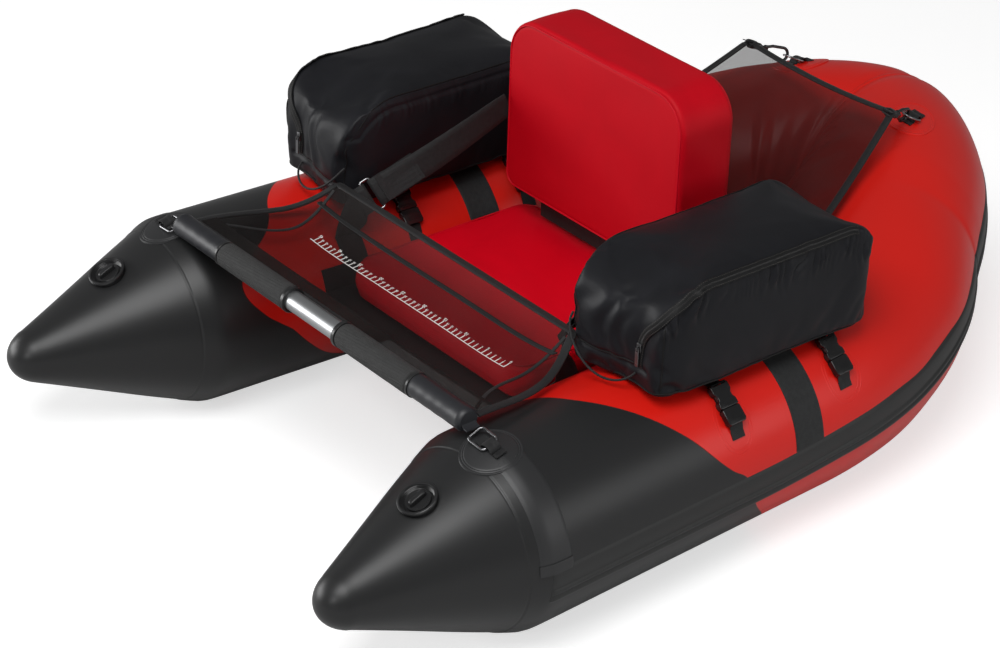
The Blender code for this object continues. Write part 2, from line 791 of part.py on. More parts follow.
def bow_patch(name, side):
    """The round bow patch with its tail strap and the webbing loop for the ring."""
    along = along_at(BOW_PATCH_Y)
    patch = add_piece(
        name + "_bow_patch",
        skin_patch(side, along, BOW_PATCH_ANGLE, BOW_PATCH_RADIUS, BOW_PATCH_GAP, PATCH_THICKNESS),
        "weld_black")
    strake_edge = strake_angle(BOW_PATCH_Y) + (STRAKE_WIDTH / 2 + PATCH_BEVEL) / TUBE_RADIUS
    half = TAIL_WIDTH / 2
    tail = skin_band(side, along + TAIL_OFFSET - half, along + TAIL_OFFSET + half, strake_edge,
                     BOW_PATCH_ANGLE - BOW_PATCH_RADIUS / TUBE_RADIUS / 2,
                     BOW_PATCH_GAP + SKIN_GAP / 2, TAIL_THICKNESS)
    combine(patch, tail, "UNION")
    top = BOW_PATCH_GAP + PATCH_THICKNESS
    loop_frame = skin_frame(side, along, BOW_PATCH_ANGLE, top)
    combine(patch, webbing_loop(loop_frame, PATCH_THICKNESS / 2), "UNION")
    return loop_frame


def oval_ring(frame, length, width, bend):
    """Loop points in the frame's XY plane: one leg on X, the other one length away."""
    half = width / 2
    corners = ((half, 0), (half, length), (-half, length), (-half, 0))
    points = []
    for index, (x, y) in enumerate(corners):
        centre_x = x - math.copysign(bend, x)
        centre_y = y - bend if y > 0 else y + bend
        for k in range(RING_ARC_STEPS):
            turn = math.pi / 2 * (index - 1 + k / (RING_ARC_STEPS - 1))
            x_turned = centre_x + bend * math.cos(turn)
            points.append(frame @ Vector((x_turned, centre_y + bend * math.sin(turn), 0)))
    return points


def d_ring(frame, length, width):
    """Loop points in the XY plane: a straight leg along X and a round bow."""
    half = width / 2
    points = [frame @ Vector((x, 0, 0)) for x in (-half, -half / 3, half / 3, half)]
    steps = RING_ARC_STEPS * 2
    for k in range(1, steps):
        turn = math.pi * k / steps
        points.append(frame @ Vector((half * math.cos(turn), length * math.sin(turn), 0)))
    return points


def skin_height(x, y):
    """Height of the top of the tube over a point of the floor plan, or None beside it."""
    best = None
    plan = Vector((abs(x), y, 0))
    for i in range(len(CENTRES) - 1):
        low = Vector((CENTRES[i].x, CENTRES[i].y, 0))
        high = Vector((CENTRES[i + 1].x, CENTRES[i + 1].y, 0))
        run = high - low
        share = min(max((plan - low).dot(run) / run.length_squared, 0), 1)
        distance = (plan - low.lerp(high, share)).length
        radius = blend(RADII[i], RADII[i + 1], share)
        if distance < radius:
            centre = blend(CENTRES[i].z, CENTRES[i + 1].z, share)
            height = centre + math.sqrt(radius * radius - distance * distance)
            best = height if best is None else max(best, height)
    return best


def clear_of_tube(x, y, height, clearance):
    """The given height, raised where the tube would come nearer than the clearance."""
    tube = skin_height(x, y)
    return height if tube is None else max(height, tube + clearance)


def bow_ring(name, loop_frame):
    """The steel ring that lies through the bow patch's loop, towards the bar."""
    frame = loop_frame @ Matrix.Translation((0, 0, (LOOP_RISE - LOOP_STRAP) / 2))
    points = oval_ring(frame, BOW_RING_LENGTH, BOW_RING_WIDTH, BOW_RING_BEND)
    add_piece(name + "_bow_ring", wire(points, BOW_RING_WIRE, WIRE_SIDES, closed=True), "steel",
              frame.translation)
    return frame @ Vector((0, BOW_RING_LENGTH, 0))


def bar_height():
    """Centre height of the bar, whose sleeves lie on the bow patches."""
    under = skin_height(BAR_END, BAR_Y)
    return under + BOW_PATCH_GAP + PATCH_THICKNESS + GAP + SLEEVE_RADIUS


def spreader_bar():
    frame = frame_from(Vector((0, BAR_Y, bar_height())), UP, Vector((1, 0, 0)))
    half = BAR_END - SLEEVE_CAP - GAP
    profile = [
        (BAR_RADIUS - BAR_CORNER, -half), (BAR_RADIUS, -half + BAR_CORNER),
        (BAR_RADIUS, half - BAR_CORNER), (BAR_RADIUS - BAR_CORNER, half),
    ]
    add_piece("spreader_bar", turned(profile, BAR_SIDES, frame), "aluminium", frame.translation)


def bar_fittings(name, side, ring_end):
    """A foam grip and the end sleeve with the tongue that meets the bow ring."""
    frame = frame_from(Vector((0, BAR_Y, bar_height())), UP, Vector((side, 0, 0)))
    bore = BAR_RADIUS + GAP
    edge = GRIP_THICKNESS / 2
    grip = [
        (bore, BAR_BARE_HALF), (GRIP_RADIUS - edge, BAR_BARE_HALF), (GRIP_RADIUS, BAR_BARE_HALF + edge),
        (GRIP_RADIUS, GRIP_END - edge), (GRIP_RADIUS - edge, GRIP_END), (bore, GRIP_END),
    ]
    add_piece(name + "_bar_grip", turned_shell(grip, BAR_SIDES, frame), "foam_grey")
    start = GRIP_END + GAP
    inner_end = BAR_END - SLEEVE_CAP
    sleeve = turned([
        (bore, inner_end), (bore, start), (SLEEVE_RADIUS, start),
        (SLEEVE_RADIUS, BAR_END - BAR_CORNER), (SLEEVE_RADIUS - BAR_CORNER, BAR_END),
    ], BAR_SIDES, frame)
    piece = add_piece(name + "_bar_sleeve", sleeve, "webbing_black")
    reach = abs(ring_end.x) - BOW_RING_WIRE - SKIN_GAP
    half = TONGUE_WIDTH / 2
    root = BAR_END - SLEEVE_CAP / 2
    middle = ring_end.z
    tongue = box(
        (min(side * root, side * reach), BAR_Y - half, middle - TONGUE_THICKNESS / 2),
        (max(side * root, side * reach), BAR_Y + half, middle + TONGUE_THICKNESS / 2),
        Matrix.Identity(4))
    combine(piece, tongue, "UNION")


def apron_front():
    return BAR_Y + GRIP_RADIUS + GAP


def apron_share(y):
    return (y - apron_front()) / (APRON_REAR_Y - apron_front())


def apron_height(x, y):
    """Middle height of the apron: level with the bar, a valley, then up at the rear."""
    share = min(max(apron_share(y), 0), 1)
    front = bar_height()
    valley = front - APRON_VALLEY_DROP
    if share < APRON_VALLEY_SHARE:
        height = blend(front, valley, smooth_step(share, 0, APRON_VALLEY_SHARE))
    else:
        rise = (share - APRON_VALLEY_SHARE) / (1 - APRON_VALLEY_SHARE)
        height = blend(valley, front + APRON_REAR_RISE, rise * rise)
    return clear_of_tube(x, y, height, SKIN_GAP + BINDING_THICKNESS / 2)


def apron_point(across, share):
    half = blend(APRON_FRONT_HALF, APRON_REAR_HALF, share)
    y = blend(apron_front(), APRON_REAR_Y, share)
    x = across * half
    return Vector((x, y, apron_height(x, y)))


def sheet_of(point, columns, rows, thickness):
    """A thin closed sheet over a surface given by shares across and back."""
    half = UP * (thickness / 2)
    grid = []
    for i in range(rows + 1):
        grid.append([point(2 * j / columns - 1, i / rows) for j in range(columns + 1)])
    lower = [[p - half for p in row] for row in grid]
    upper = [[p + half for p in row] for row in grid]
    return slab(lower, upper)


def rim_path(point, columns, rows, around):
    """Edge points of such a sheet: up the starboard side, across, down the port side."""
    path = [point(-1, i / rows) for i in range(rows)]
    path += [point(2 * j / columns - 1, 1) for j in range(columns)]
    path += [point(1, 1 - i / rows) for i in range(rows)]
    if around:
        path += [point(1 - 2 * j / columns, 0) for j in range(columns)]
    else:
        path.append(point(1, 0))
    return path


def outward_mitres(path, closed):
    """Directions out of a path in plan, lengthened at corners to keep the width even."""
    count = len(path)
    normals = []
    for i in range(count if closed else count - 1):
        run = path[(i + 1) % count] - path[i]
        normals.append(Vector((-run.y, run.x, 0)).normalized())
    mitres = []
    for i in range(count):
        if closed:
            before, after = normals[i - 1], normals[i]
        else:
            before, after = normals[max(i - 1, 0)], normals[min(i, count - 2)]
        mitres.append((before + after) / (1 + before.dot(after)))
    return mitres


def binding(path, closed, width, thickness, height):
    """Edge webbing sewn round a sheet, its height given by a function of the plan."""
    rings = []
    for point, mitre in zip(path, outward_mitres(path, closed)):
        inner = point + mitre * GAP
        outer = point + mitre * (GAP + width)
        ring = []
        for place, rise in ((inner, -0.5), (outer, -0.5), (outer, 0.5), (inner, 0.5)):
            ring.append(Vector((place.x, place.y, height(place, point) + rise * thickness)))
        rings.append(ring)
    return loft(rings, closed=closed)


def apron():
    """The stripping apron: dark mesh, its binding on three sides and the ruler."""
    add_piece("apron_mesh", sheet_of(apron_point, APRON_COLUMNS, APRON_ROWS, APRON_THICKNESS), "mesh_black")
    path = rim_path(apron_point, APRON_COLUMNS, APRON_ROWS, False)

    def height(place, edge):
        return apron_height(place.x, place.y)

    add_piece("apron_binding", binding(path, False, BINDING_WIDTH, BINDING_THICKNESS, height),
              "webbing_black")
    lower = []
    upper = []
    for y in (RULER_Y - RULER_WIDTH / 2, RULER_Y, RULER_Y + RULER_WIDTH / 2):
        xs = steps_between(-RULER_LENGTH / 2, RULER_LENGTH / 2, RULER_LENGTH / APRON_COLUMNS)
        base = [Vector((x, y, apron_top(x, y) + GAP)) for x in xs]
        lower.append(base)
        upper.append([p + UP * RULER_THICKNESS for p in base])
    add_piece("apron_ruler", slab(lower, upper), "ruler_white")


def apron_top(x, y):
    """Top of the mesh over a place, between the four corners of its facet."""
    share = apron_share(y) * APRON_ROWS
    row = min(int(share), APRON_ROWS - 1)
    heights = []
    for back in (row, row + 1):
        edge = blend(APRON_FRONT_HALF, APRON_REAR_HALF, back / APRON_ROWS)
        across = (x / edge + 1) / 2 * APRON_COLUMNS
        column = math.floor(across)
        left = apron_point(2 * column / APRON_COLUMNS - 1, back / APRON_ROWS).z
        right = apron_point(2 * (column + 1) / APRON_COLUMNS - 1, back / APRON_ROWS).z
        heights.append(blend(left, right, across - column))
    return blend(heights[0], heights[1], share - row) + APRON_THICKNESS / 2


def sling_angle(y):
    """Where on the tube's inner side the sling leaves the skin."""
    level = SEAT_BOTTOM - GAP - SLING_THICKNESS
    return math.pi - math.asin((level - tube_height(y)) / tube_radius(y))


def thicken(line, thickness):
    """The line moved to its left by a thickness, mitred, in the plane it is drawn in."""
    normals = []
    for low, high in zip(line, line[1:]):
        run = high - low
        normals.append(Vector((-run.z, 0, run.x)).normalized())
    moved = []
    for i, point in enumerate(line):
        before, after = normals[max(i - 1, 0)], normals[min(i, len(normals) - 1)]
        moved.append(point + (before + after) / (1 + before.dot(after)) * thickness)
    return moved


def seat_sling():
    """The nylon sling between the tubes, with a welded flap on each and the strap anchors."""
    lower = []
    upper = []
    for y in steps_between(SEAT_FRONT - SLING_OVERHANG, SEAT_REAR + SLING_OVERHANG, STRAKE_WIDTH):
        along = along_at(y)
        leave = sling_angle(y)
        flap = [blend(SLING_FLAP_ANGLE, leave, k / FLAP_STEPS) for k in range(FLAP_STEPS + 1)]
        port = [skin(1, along, angle, SKIN_GAP) for angle in flap]
        starboard = [skin(-1, along, angle, SKIN_GAP) for angle in flap]
        middle = []
        for k in range(1, SLING_COLUMNS):
            share = k / SLING_COLUMNS
            point = starboard[-1].lerp(port[-1], share)
            middle.append(point - UP * (SLING_SAG * 4 * share * (1 - share)))
        line = starboard + middle + list(reversed(port))
        lower.append(line)
        upper.append(thicken(line, SLING_THICKNESS))
    return add_piece("seat_sling", slab(lower, upper), "webbing_black")


def seat_half_width():
    inner = min(abs(skin(1, along_at(y), sling_angle(y), 0).x) for y in (SEAT_FRONT, SEAT_REAR))
    return inner - SLING_THICKNESS - SEAT_SIDE_CLEARANCE


def padded_levels(thickness, edge, draw):
    """Inset and height of a stuffed block's sides, rounded at the rims, drawn in between."""
    half = thickness / 2
    shoulder = edge * EDGE_ROUND_SHARE
    lower = [(edge, -half), (shoulder, -half + shoulder), (0, -half + edge)]
    upper = [(inset, -height) for inset, height in reversed(lower)]
    return lower + [(draw, 0)] + upper


def seat_cushion():
    """The seat cushion, crowned on top, flat enough below to lie on the sling."""
    centre = Vector((0, (SEAT_FRONT + SEAT_REAR) / 2, SEAT_TOP - SEAT_THICKNESS / 2))
    frame = Matrix.Translation(centre)
    half_y = (SEAT_REAR - SEAT_FRONT) / 2
    block = padded_block(
        seat_half_width(), half_y, [SEAT_CORNER] * 4, CUSHION_CORNER_STEPS,
        padded_levels(SEAT_THICKNESS, SEAT_EDGE, SEAT_DRAW), (-SLING_SAG / 4, SEAT_CROWN), frame)
    add_piece("seat_cushion", block, "seat_red", centre)


def seat_top_at(y):
    """Height of the seat's crowned top on its middle line."""
    middle = (SEAT_FRONT + SEAT_REAR) / 2
    share = abs(y - middle) / ((SEAT_REAR - SEAT_FRONT) / 2 - SEAT_EDGE)
    knots = [(1, 0)] + [(s, SEAT_CROWN * (1 - s * s)) for s in CROWN_SHARES]
    for (outer, low), (inner, high) in zip(knots, knots[1:]):
        if inner <= share <= outer:
            return SEAT_TOP + blend(low, high, (outer - share) / (outer - inner))
    return SEAT_TOP


def back_bottom_at(y):
    """Height of the backrest's drawn-in lower edge at a place in its thickness."""
    half = BACK_THICKNESS / 2
    middle = BACK_FRONT_Y + half
    away = abs(y - middle) / (half - BACK_CROWN - BACK_EDGE)
    return BACK_BOTTOM + BACK_DRAW * (1 - min(away, 1))


def backrest():
    """The backrest cushion and the folding flap that joins it to the seat."""
    flap_front = FLAP_Y - FLAP_THICKNESS / 2
    pivot = Vector((0, flap_front, back_bottom_at(flap_front)))
    low = Vector((-FLAP_HALF_WIDTH, flap_front, seat_top_at(flap_front) + GAP))
    high = Vector((FLAP_HALF_WIDTH, flap_front + FLAP_THICKNESS, pivot.z - GAP))
    add_piece("backrest_flap", box(low, high, Matrix.Identity(4)), "webbing_black")
    half_y = (BACK_TOP - BACK_BOTTOM) / 2
    centre = Vector((0, BACK_FRONT_Y + BACK_THICKNESS / 2, BACK_BOTTOM + half_y))
    frame = frame_from(centre, Vector((1, 0, 0)), Vector((0, -1, 0)))
    corners = [BACK_TOP_CORNER] * 2 + [BACK_BOTTOM_CORNER] * 2
    block = padded_block(
        BACK_HALF_WIDTH, half_y, corners, CUSHION_CORNER_STEPS + 1,
        padded_levels(BACK_THICKNESS - 2 * BACK_CROWN, BACK_EDGE, BACK_DRAW),
        (BACK_CROWN, BACK_CROWN), frame)
    add_piece("backrest_cushion", block, "seat_red", pivot)
    return pivot


def folded_end(bar, heading, normal, radius):
    """Centre line of a strap coming along the heading, round a bar and back below it."""
    points = []
    for k in range(FOLD_STEPS + 1):
        turn = math.pi / 2 - math.pi * k / FOLD_STEPS
        points.append(bar + heading * (radius * math.cos(turn)) + normal * (radius * math.sin(turn)))
    points.append(bar - heading * FOLD_LENGTH - normal * radius)
    return points


def strap_sheet(points, widths, thickness):
    """A strap through centre points, each with its own half-width vector."""
    lower = []
    upper = []
    last = len(points) - 1
    for i, point in enumerate(points):
        heading = (points[min(i + 1, last)] - points[max(i - 1, 0)]).normalized()
        normal = heading.cross(widths[i]).normalized() * (thickness / 2)
        lower.append([point - widths[i] - normal, point + widths[i] - normal])
        upper.append([point - widths[i] + normal, point + widths[i] + normal])
    return slab(lower, upper)


def back_strap(name, side, sling):
    """The backrest strap, its frame buckle and the anchor strap sewn to the sling's flap."""
    side_x = BACK_HALF_WIDTH + STRAP_SIDE_GAP + STRAP_THICKNESS / 2
    top = Vector((side * side_x, STRAP_TOP_Y, STRAP_TOP_HEIGHT))
    knee = Vector((side * side_x, BACK_FRONT_Y - STRAP_WIDTH / 4, 0))
    buckle = Vector((side * STRAP_BUCKLE_X, STRAP_BUCKLE_Y, STRAP_BUCKLE_HEIGHT))
    knee.z = blend(top.z, buckle.z, (top.y - knee.y) / (top.y - buckle.y))
    heading = (buckle - knee).normalized()
    first_heading = (knee - top).normalized()
    upright = (UP - first_heading * UP.dot(first_heading)).normalized()
    inward = Vector((-side, 0, 0))
    inward = (inward - heading * inward.dot(heading)).normalized()
    rolled = upright * STRAP_ROLL_SHARES[0] - inward * STRAP_ROLL_SHARES[1]
    rolled = (rolled - heading * rolled.dot(heading)).normalized()
    normal = heading.cross(rolled) * side
    frame = frame_from(buckle, rolled, normal)
    half_slot = FRAME_SLOT / 2 + FRAME_WIRE
    along = rolled.cross(normal).normalized()
    if along.dot(heading) < 0:
        along = -along
    ring_frame = frame_from(buckle - along * half_slot, rolled, rolled.cross(along))
    ring_width = STRAP_WIDTH + 2 * (FRAME_WIRE + SKIN_GAP)
    ring = oval_ring(ring_frame, 2 * half_slot, ring_width, FRAME_WIRE)
    add_piece(name + "_strap_buckle", wire(ring, FRAME_WIRE, WIRE_SIDES, closed=True), "steel")
    half_width = STRAP_WIDTH / 2
    wrap = FRAME_WIRE + SKIN_GAP + STRAP_THICKNESS / 2
    upper_bar = buckle - along * half_slot
    fold = folded_end(upper_bar, along, normal, wrap)
    points = [top]
    widths = [upright * half_width]
    for k in range(STRAP_STATIONS):
        share = k / STRAP_STATIONS
        points.append(knee.lerp(fold[0], share))
        widths.append(upright.lerp(rolled, share).normalized() * half_width)
    points += fold
    widths += [rolled * half_width] * len(fold)
    add_piece(name + "_back_strap", strap_sheet(points, widths, STRAP_THICKNESS), "webbing_black")
    lower_bar = buckle + along * half_slot
    fold = folded_end(lower_bar, -along, normal, wrap)
    s = along_at(STRAP_ANCHOR_Y)
    along_tube = skin_frame(side, s, STRAP_ANCHOR_ANGLE, 0).to_3x3() @ Vector((1, 0, 0))
    if along_tube.dot(rolled) < 0:
        along_tube = -along_tube
    points = list(reversed(fold)) + [lower_bar + normal * wrap + along * FOLD_LENGTH]
    widths = [rolled * half_width] * len(points)
    landing = SKIN_GAP + SLING_THICKNESS / 2
    for angle in steps_between(STRAP_ANCHOR_ANGLE, SLING_FLAP_ANGLE + SKIN_TURN_STEP / 2, SKIN_TURN_STEP):
        points.append(skin(side, s, angle, landing))
        widths.append(along_tube * half_width)
    combine(sling, strap_sheet(points, widths, STRAP_THICKNESS), "UNION")


def bag_bottom():
    """Lowest height of a bag, which rests on its hold-down band on top of the tube."""
    y = BAND_Y
    return tube_height(y) + tube_radius(y) + SKIN_GAP + BAND_THICKNESS + GAP


def side_bag(name, side):
    """A zipped side bag: a soft box with a round bottom, top and corners."""
    centre = Vector((side * BAG_X, BAG_FRONT + BAG_LENGTH / 2, 0))
    bottom = bag_bottom()
    shoulder = BAG_TOP - BAG_TOP_CROWN - BAG_TOP_ROUND
    levels = [(BAG_BOTTOM_ROUND * inset, bottom + BAG_BOTTOM_ROUND * rise) for inset, rise in BAG_LOWER_SHARES]
    levels += [(BAG_TOP_ROUND * inset, shoulder + BAG_TOP_ROUND * rise) for inset, rise in BAG_UPPER_SHARES]
    crowns = (levels[0][1] - bottom, BAG_TOP_CROWN)
    frame = Matrix.Translation(centre)
    block = padded_block(BAG_HALF_WIDTH, BAG_LENGTH / 2, [BAG_CORNER] * 4, CUSHION_CORNER_STEPS,
                         levels, crowns, frame)
    bag = add_piece(name + "_bag", block, "bag_black")
    inner = side * (BAG_X - BAG_HALF_WIDTH + BAG_CORNER)
    height = bottom + BAG_BOTTOM_ROUND * 2
    points = []
    for k in range(LOOP_CORD_STEPS + 1):
        share = k / LOOP_CORD_STEPS
        bulge = 4 * share * (1 - share)
        x = inner + side * LOOP_CORD_SPAN * share
        y = BAG_FRONT + LOOP_CORD_SINK - (LOOP_CORD_REACH + LOOP_CORD_SINK) * math.sqrt(bulge)
        points.append(Vector((x, y, height - LOOP_CORD_DROP * bulge)))
    combine(bag, wire(points, LOOP_CORD, WIRE_SIDES), "UNION")


def zip_slider(name, side):
    """The zip's slider on the bag's front face and the pull that hangs from it."""
    face = BAG_FRONT - GAP
    place = Vector((side * ZIP_X, face, ZIP_HEIGHT))
    outline = [(x * ZIP_BODY_WIDTH / 2, y * ZIP_BODY_LENGTH / 2) for x, y in ZIP_BODY_SHARES]
    middle = place - Vector((0, ZIP_BODY_DEPTH / 2, 0))
    frame = frame_from(middle, Vector((1, 0, 0)), Vector((0, -1, 0)))
    slider = add_piece(name + "_zip_slider", prism(outline, ZIP_BODY_DEPTH, frame), "steel", place)
    pivot = Vector((place.x, face - ZIP_BODY_DEPTH - PULL_STAND_OFF, place.z))
    at_pivot = Matrix.Translation(pivot)
    reach = ARCH_INSIDE + ARCH_WALL
    arch = box((-ARCH_HALF_WIDTH, -reach, -ARCH_HALF_LENGTH),
               (ARCH_HALF_WIDTH, PULL_STAND_OFF + MERGE * 2, ARCH_HALF_LENGTH), at_pivot)
    combine(slider, arch, "UNION")
    inside = ARCH_HALF_LENGTH - ARCH_WALL
    window = box((-CUT_OVERRUN, -ARCH_INSIDE, -inside), (CUT_OVERRUN, ARCH_INSIDE, inside), at_pivot)
    combine(slider, window, "DIFFERENCE")
    width = PULL_WIDTH / 2
    outer = rounded_outline(width, PULL_LENGTH / 2, [width * PULL_ROUND_SHARE] * 4, 0, PULL_ROUND_STEPS)
    offset = PULL_BAR_HALF - PULL_LENGTH / 2
    tilt = frame_from(pivot, Vector((1, 0, 0)), Vector((0, -1, 0)))
    rings = []
    for depth in (-PULL_THICKNESS / 2, PULL_THICKNESS / 2):
        rings.append([tilt @ Vector((x, y + offset, depth)) for x, y in outer])
    pull = add_piece(name + "_zip_pull", loft(rings), "steel", pivot)
    eye = box((-PULL_WINDOW_HALF, -PULL_WINDOW_LENGTH, -PULL_THICKNESS),
              (PULL_WINDOW_HALF, -PULL_BAR_HALF, PULL_THICKNESS), tilt)
    combine(pull, eye, "DIFFERENCE")


def bag_band(name, side):
    """The wide band over the tube under a bag, down to the strake outside."""
    s = along_at(BAND_Y)
    low = strake_angle(BAND_Y) + (STRAKE_WIDTH / 2 + PATCH_BEVEL) / TUBE_RADIUS
    band = skin_band(side, s - BAND_WIDTH / 2, s + BAND_WIDTH / 2, low, BAND_INNER_ANGLE,
                     SKIN_GAP, BAND_THICKNESS)
    add_piece(name + "_bag_band", band, "webbing_black")


def buckle_frame(side, y, angle, downward):
    """A frame on the skin whose Y points to the webbing that comes from under the bag."""
    frame = skin_frame(side, along_at(y), angle, SKIN_GAP)
    return frame if downward else frame @ Matrix.Rotation(math.pi, 4, "Z")


def buckle_strap(side, y, frame, inside, angles, height):
    """Webbing from inside a buckle half down to the skin and along it."""
    along = along_at(y)
    half = WEBBING_WIDTH / 2
    across = frame.to_3x3() @ Vector((half, 0, 0))
    points = [frame @ Vector((0, inside, height))]
    lift = SKIN_GAP + WEBBING_THICKNESS / 2
    points += [skin(side, along, angle, lift) for angle in angles]
    return strap_sheet(points, [across] * len(points), WEBBING_THICKNESS)


def scallops(frame, depth):
    """Two round cutters that open the sides of a socket over the prongs."""
    cutters = []
    for edge in (-1, 1):
        place = frame @ Matrix.Translation((edge * (BUCKLE_WIDTH / 2 + SCALLOP_OFFSET), SCALLOP_PLACE, 0))
        profile = [(SCALLOP_RADIUS, -CUT_OVERRUN), (SCALLOP_RADIUS, depth + CUT_OVERRUN)]
        cutters.append(turned(profile, VALVE_SIDES, place))
    return cutters


def bag_buckle(name, side, y):
    """A side-release buckle outside the tube: the socket on the bag's webbing, and the plug."""
    frame = buckle_frame(side, y, BUCKLE_OUTER_ANGLE, True)
    half = BUCKLE_WIDTH / 2
    depth = BUCKLE_DEPTH
    middle = depth / 2
    shell_outline = rounded_outline(half, SOCKET_LENGTH / 2, [BUCKLE_CORNER] * 4, 0, BUCKLE_CORNER_STEPS)
    shell_outline = [(x, v + SOCKET_LENGTH / 2) for x, v in shell_outline]
    lifted = frame @ Matrix.Translation((0, 0, middle))
    socket = add_piece(name + "_socket", prism(shell_outline, depth, lifted), "plastic_black")
    inner = half - SOCKET_WALL
    cavity = box((-inner, -CUT_OVERRUN, SOCKET_WALL),
                 (inner, SOCKET_LENGTH - SOCKET_FLOOR, depth - SOCKET_WALL), frame)
    combine(socket, cavity, "DIFFERENCE")
    for cutter in scallops(frame, depth):
        combine(socket, cutter, "DIFFERENCE")
    top = steps_between(BUCKLE_OUTER_ANGLE + WEBBING_START_ANGLE, WEBBING_TOP_ANGLE, SKIN_TURN_STEP)
    combine(socket, buckle_strap(side, y, frame, SOCKET_LENGTH - TAB_SINK, top, middle), "UNION")
    head_outline = rounded_outline(half, PLUG_HEAD / 2, [BUCKLE_CORNER] * 4, 0, BUCKLE_CORNER_STEPS)
    head_outline = [(x, v - PLUG_HEAD / 2 - GAP) for x, v in head_outline]
    pivot = frame @ Vector((0, 0, middle))
    plug = add_piece(name + "_plug", prism(head_outline, depth, lifted), "plastic_black", pivot)
    w = inner - PLUG_CLEARANCE
    p = w - PRONG_WIDTH
    g = GUIDE_WIDTH / 2
    comb = [
        (-w, -PRONG_ROOT * 2), (w, -PRONG_ROOT * 2), (w, PRONG_LENGTH), (p, PRONG_LENGTH),
        (p, PRONG_ROOT), (g, PRONG_ROOT), (g, GUIDE_LENGTH), (-g, GUIDE_LENGTH), (-g, PRONG_ROOT),
        (-p, PRONG_ROOT), (-p, PRONG_LENGTH), (-w, PRONG_LENGTH),
    ]
    comb_depth = depth - 2 * (SOCKET_WALL + PLUG_CLEARANCE)
    combine(plug, prism(comb, comb_depth, lifted), "UNION")
    tail = [BUCKLE_OUTER_ANGLE - TAB_START_ANGLE, BUCKLE_OUTER_ANGLE - TAB_ANGLE]
    combine(plug, buckle_strap(side, y, frame, TAB_SINK - PLUG_HEAD, tail, middle), "UNION")


def inner_buckle(name, side, y):
    """The closed buckle on the inner side of the tube, with its webbing at both ends."""
    frame = buckle_frame(side, y, BUCKLE_INNER_ANGLE, False)
    middle = BUCKLE_DEPTH / 2
    half_length = (SOCKET_LENGTH + PLUG_HEAD) / 2
    outline = rounded_outline(BUCKLE_WIDTH / 2, half_length, [BUCKLE_CORNER] * 4, 0, BUCKLE_CORNER_STEPS)
    outline = [(x, v + half_length - PLUG_HEAD) for x, v in outline]
    lifted = frame @ Matrix.Translation((0, 0, middle))
    buckle = add_piece(name + "_inner_buckle", prism(outline, BUCKLE_DEPTH, lifted), "plastic_black")
    for cutter in scallops(frame, BUCKLE_DEPTH):
        combine(buckle, cutter, "DIFFERENCE")
    top = steps_between(BUCKLE_INNER_ANGLE - WEBBING_START_ANGLE, math.pi - WEBBING_TOP_ANGLE, SKIN_TURN_STEP)
    combine(buckle, buckle_strap(side, y, frame, SOCKET_LENGTH - TAB_SINK, top, middle), "UNION")
    tail = [BUCKLE_INNER_ANGLE + TAB_START_ANGLE, BUCKLE_INNER_ANGLE + TAB_ANGLE]
    combine(buckle, buckle_strap(side, y, frame, TAB_SINK - PLUG_HEAD, tail, middle), "UNION")


def stern_ring_frame(side):
    """The loop frame on the stern patch, and the ring's frame aimed at the net's corner."""
    along = REACH[-1] - STERN_PATCH_INSET
    seat = skin_frame(side, along, STERN_PATCH_ANGLE, STERN_PATCH_GAP + PATCH_THICKNESS)
    normal = seat.to_3x3() @ UP
    origin = seat.translation
    aim = Vector((side * NET_AIM_X, NET_AIM_Y, NET_AIM_HEIGHT))
    leg = (aim - origin).cross(normal).normalized()
    loop_frame = frame_from(origin, leg, normal)
    pivot = loop_frame @ Vector((0, 0, (LOOP_RISE - LOOP_STRAP) / 2))
    pull = aim - pivot
    pull = (pull - leg * pull.dot(leg)).normalized()
    return loop_frame, frame_from(pivot, leg, leg.cross(pull))


def hook_bend_place():
    """Where along the pull the middle of the hook's bend lies, past the ring's pivot."""
    return STERN_RING_REACH - STERN_RING_WIRE - HOOK_SLACK - HOOK_WIRE + HOOK_BEND


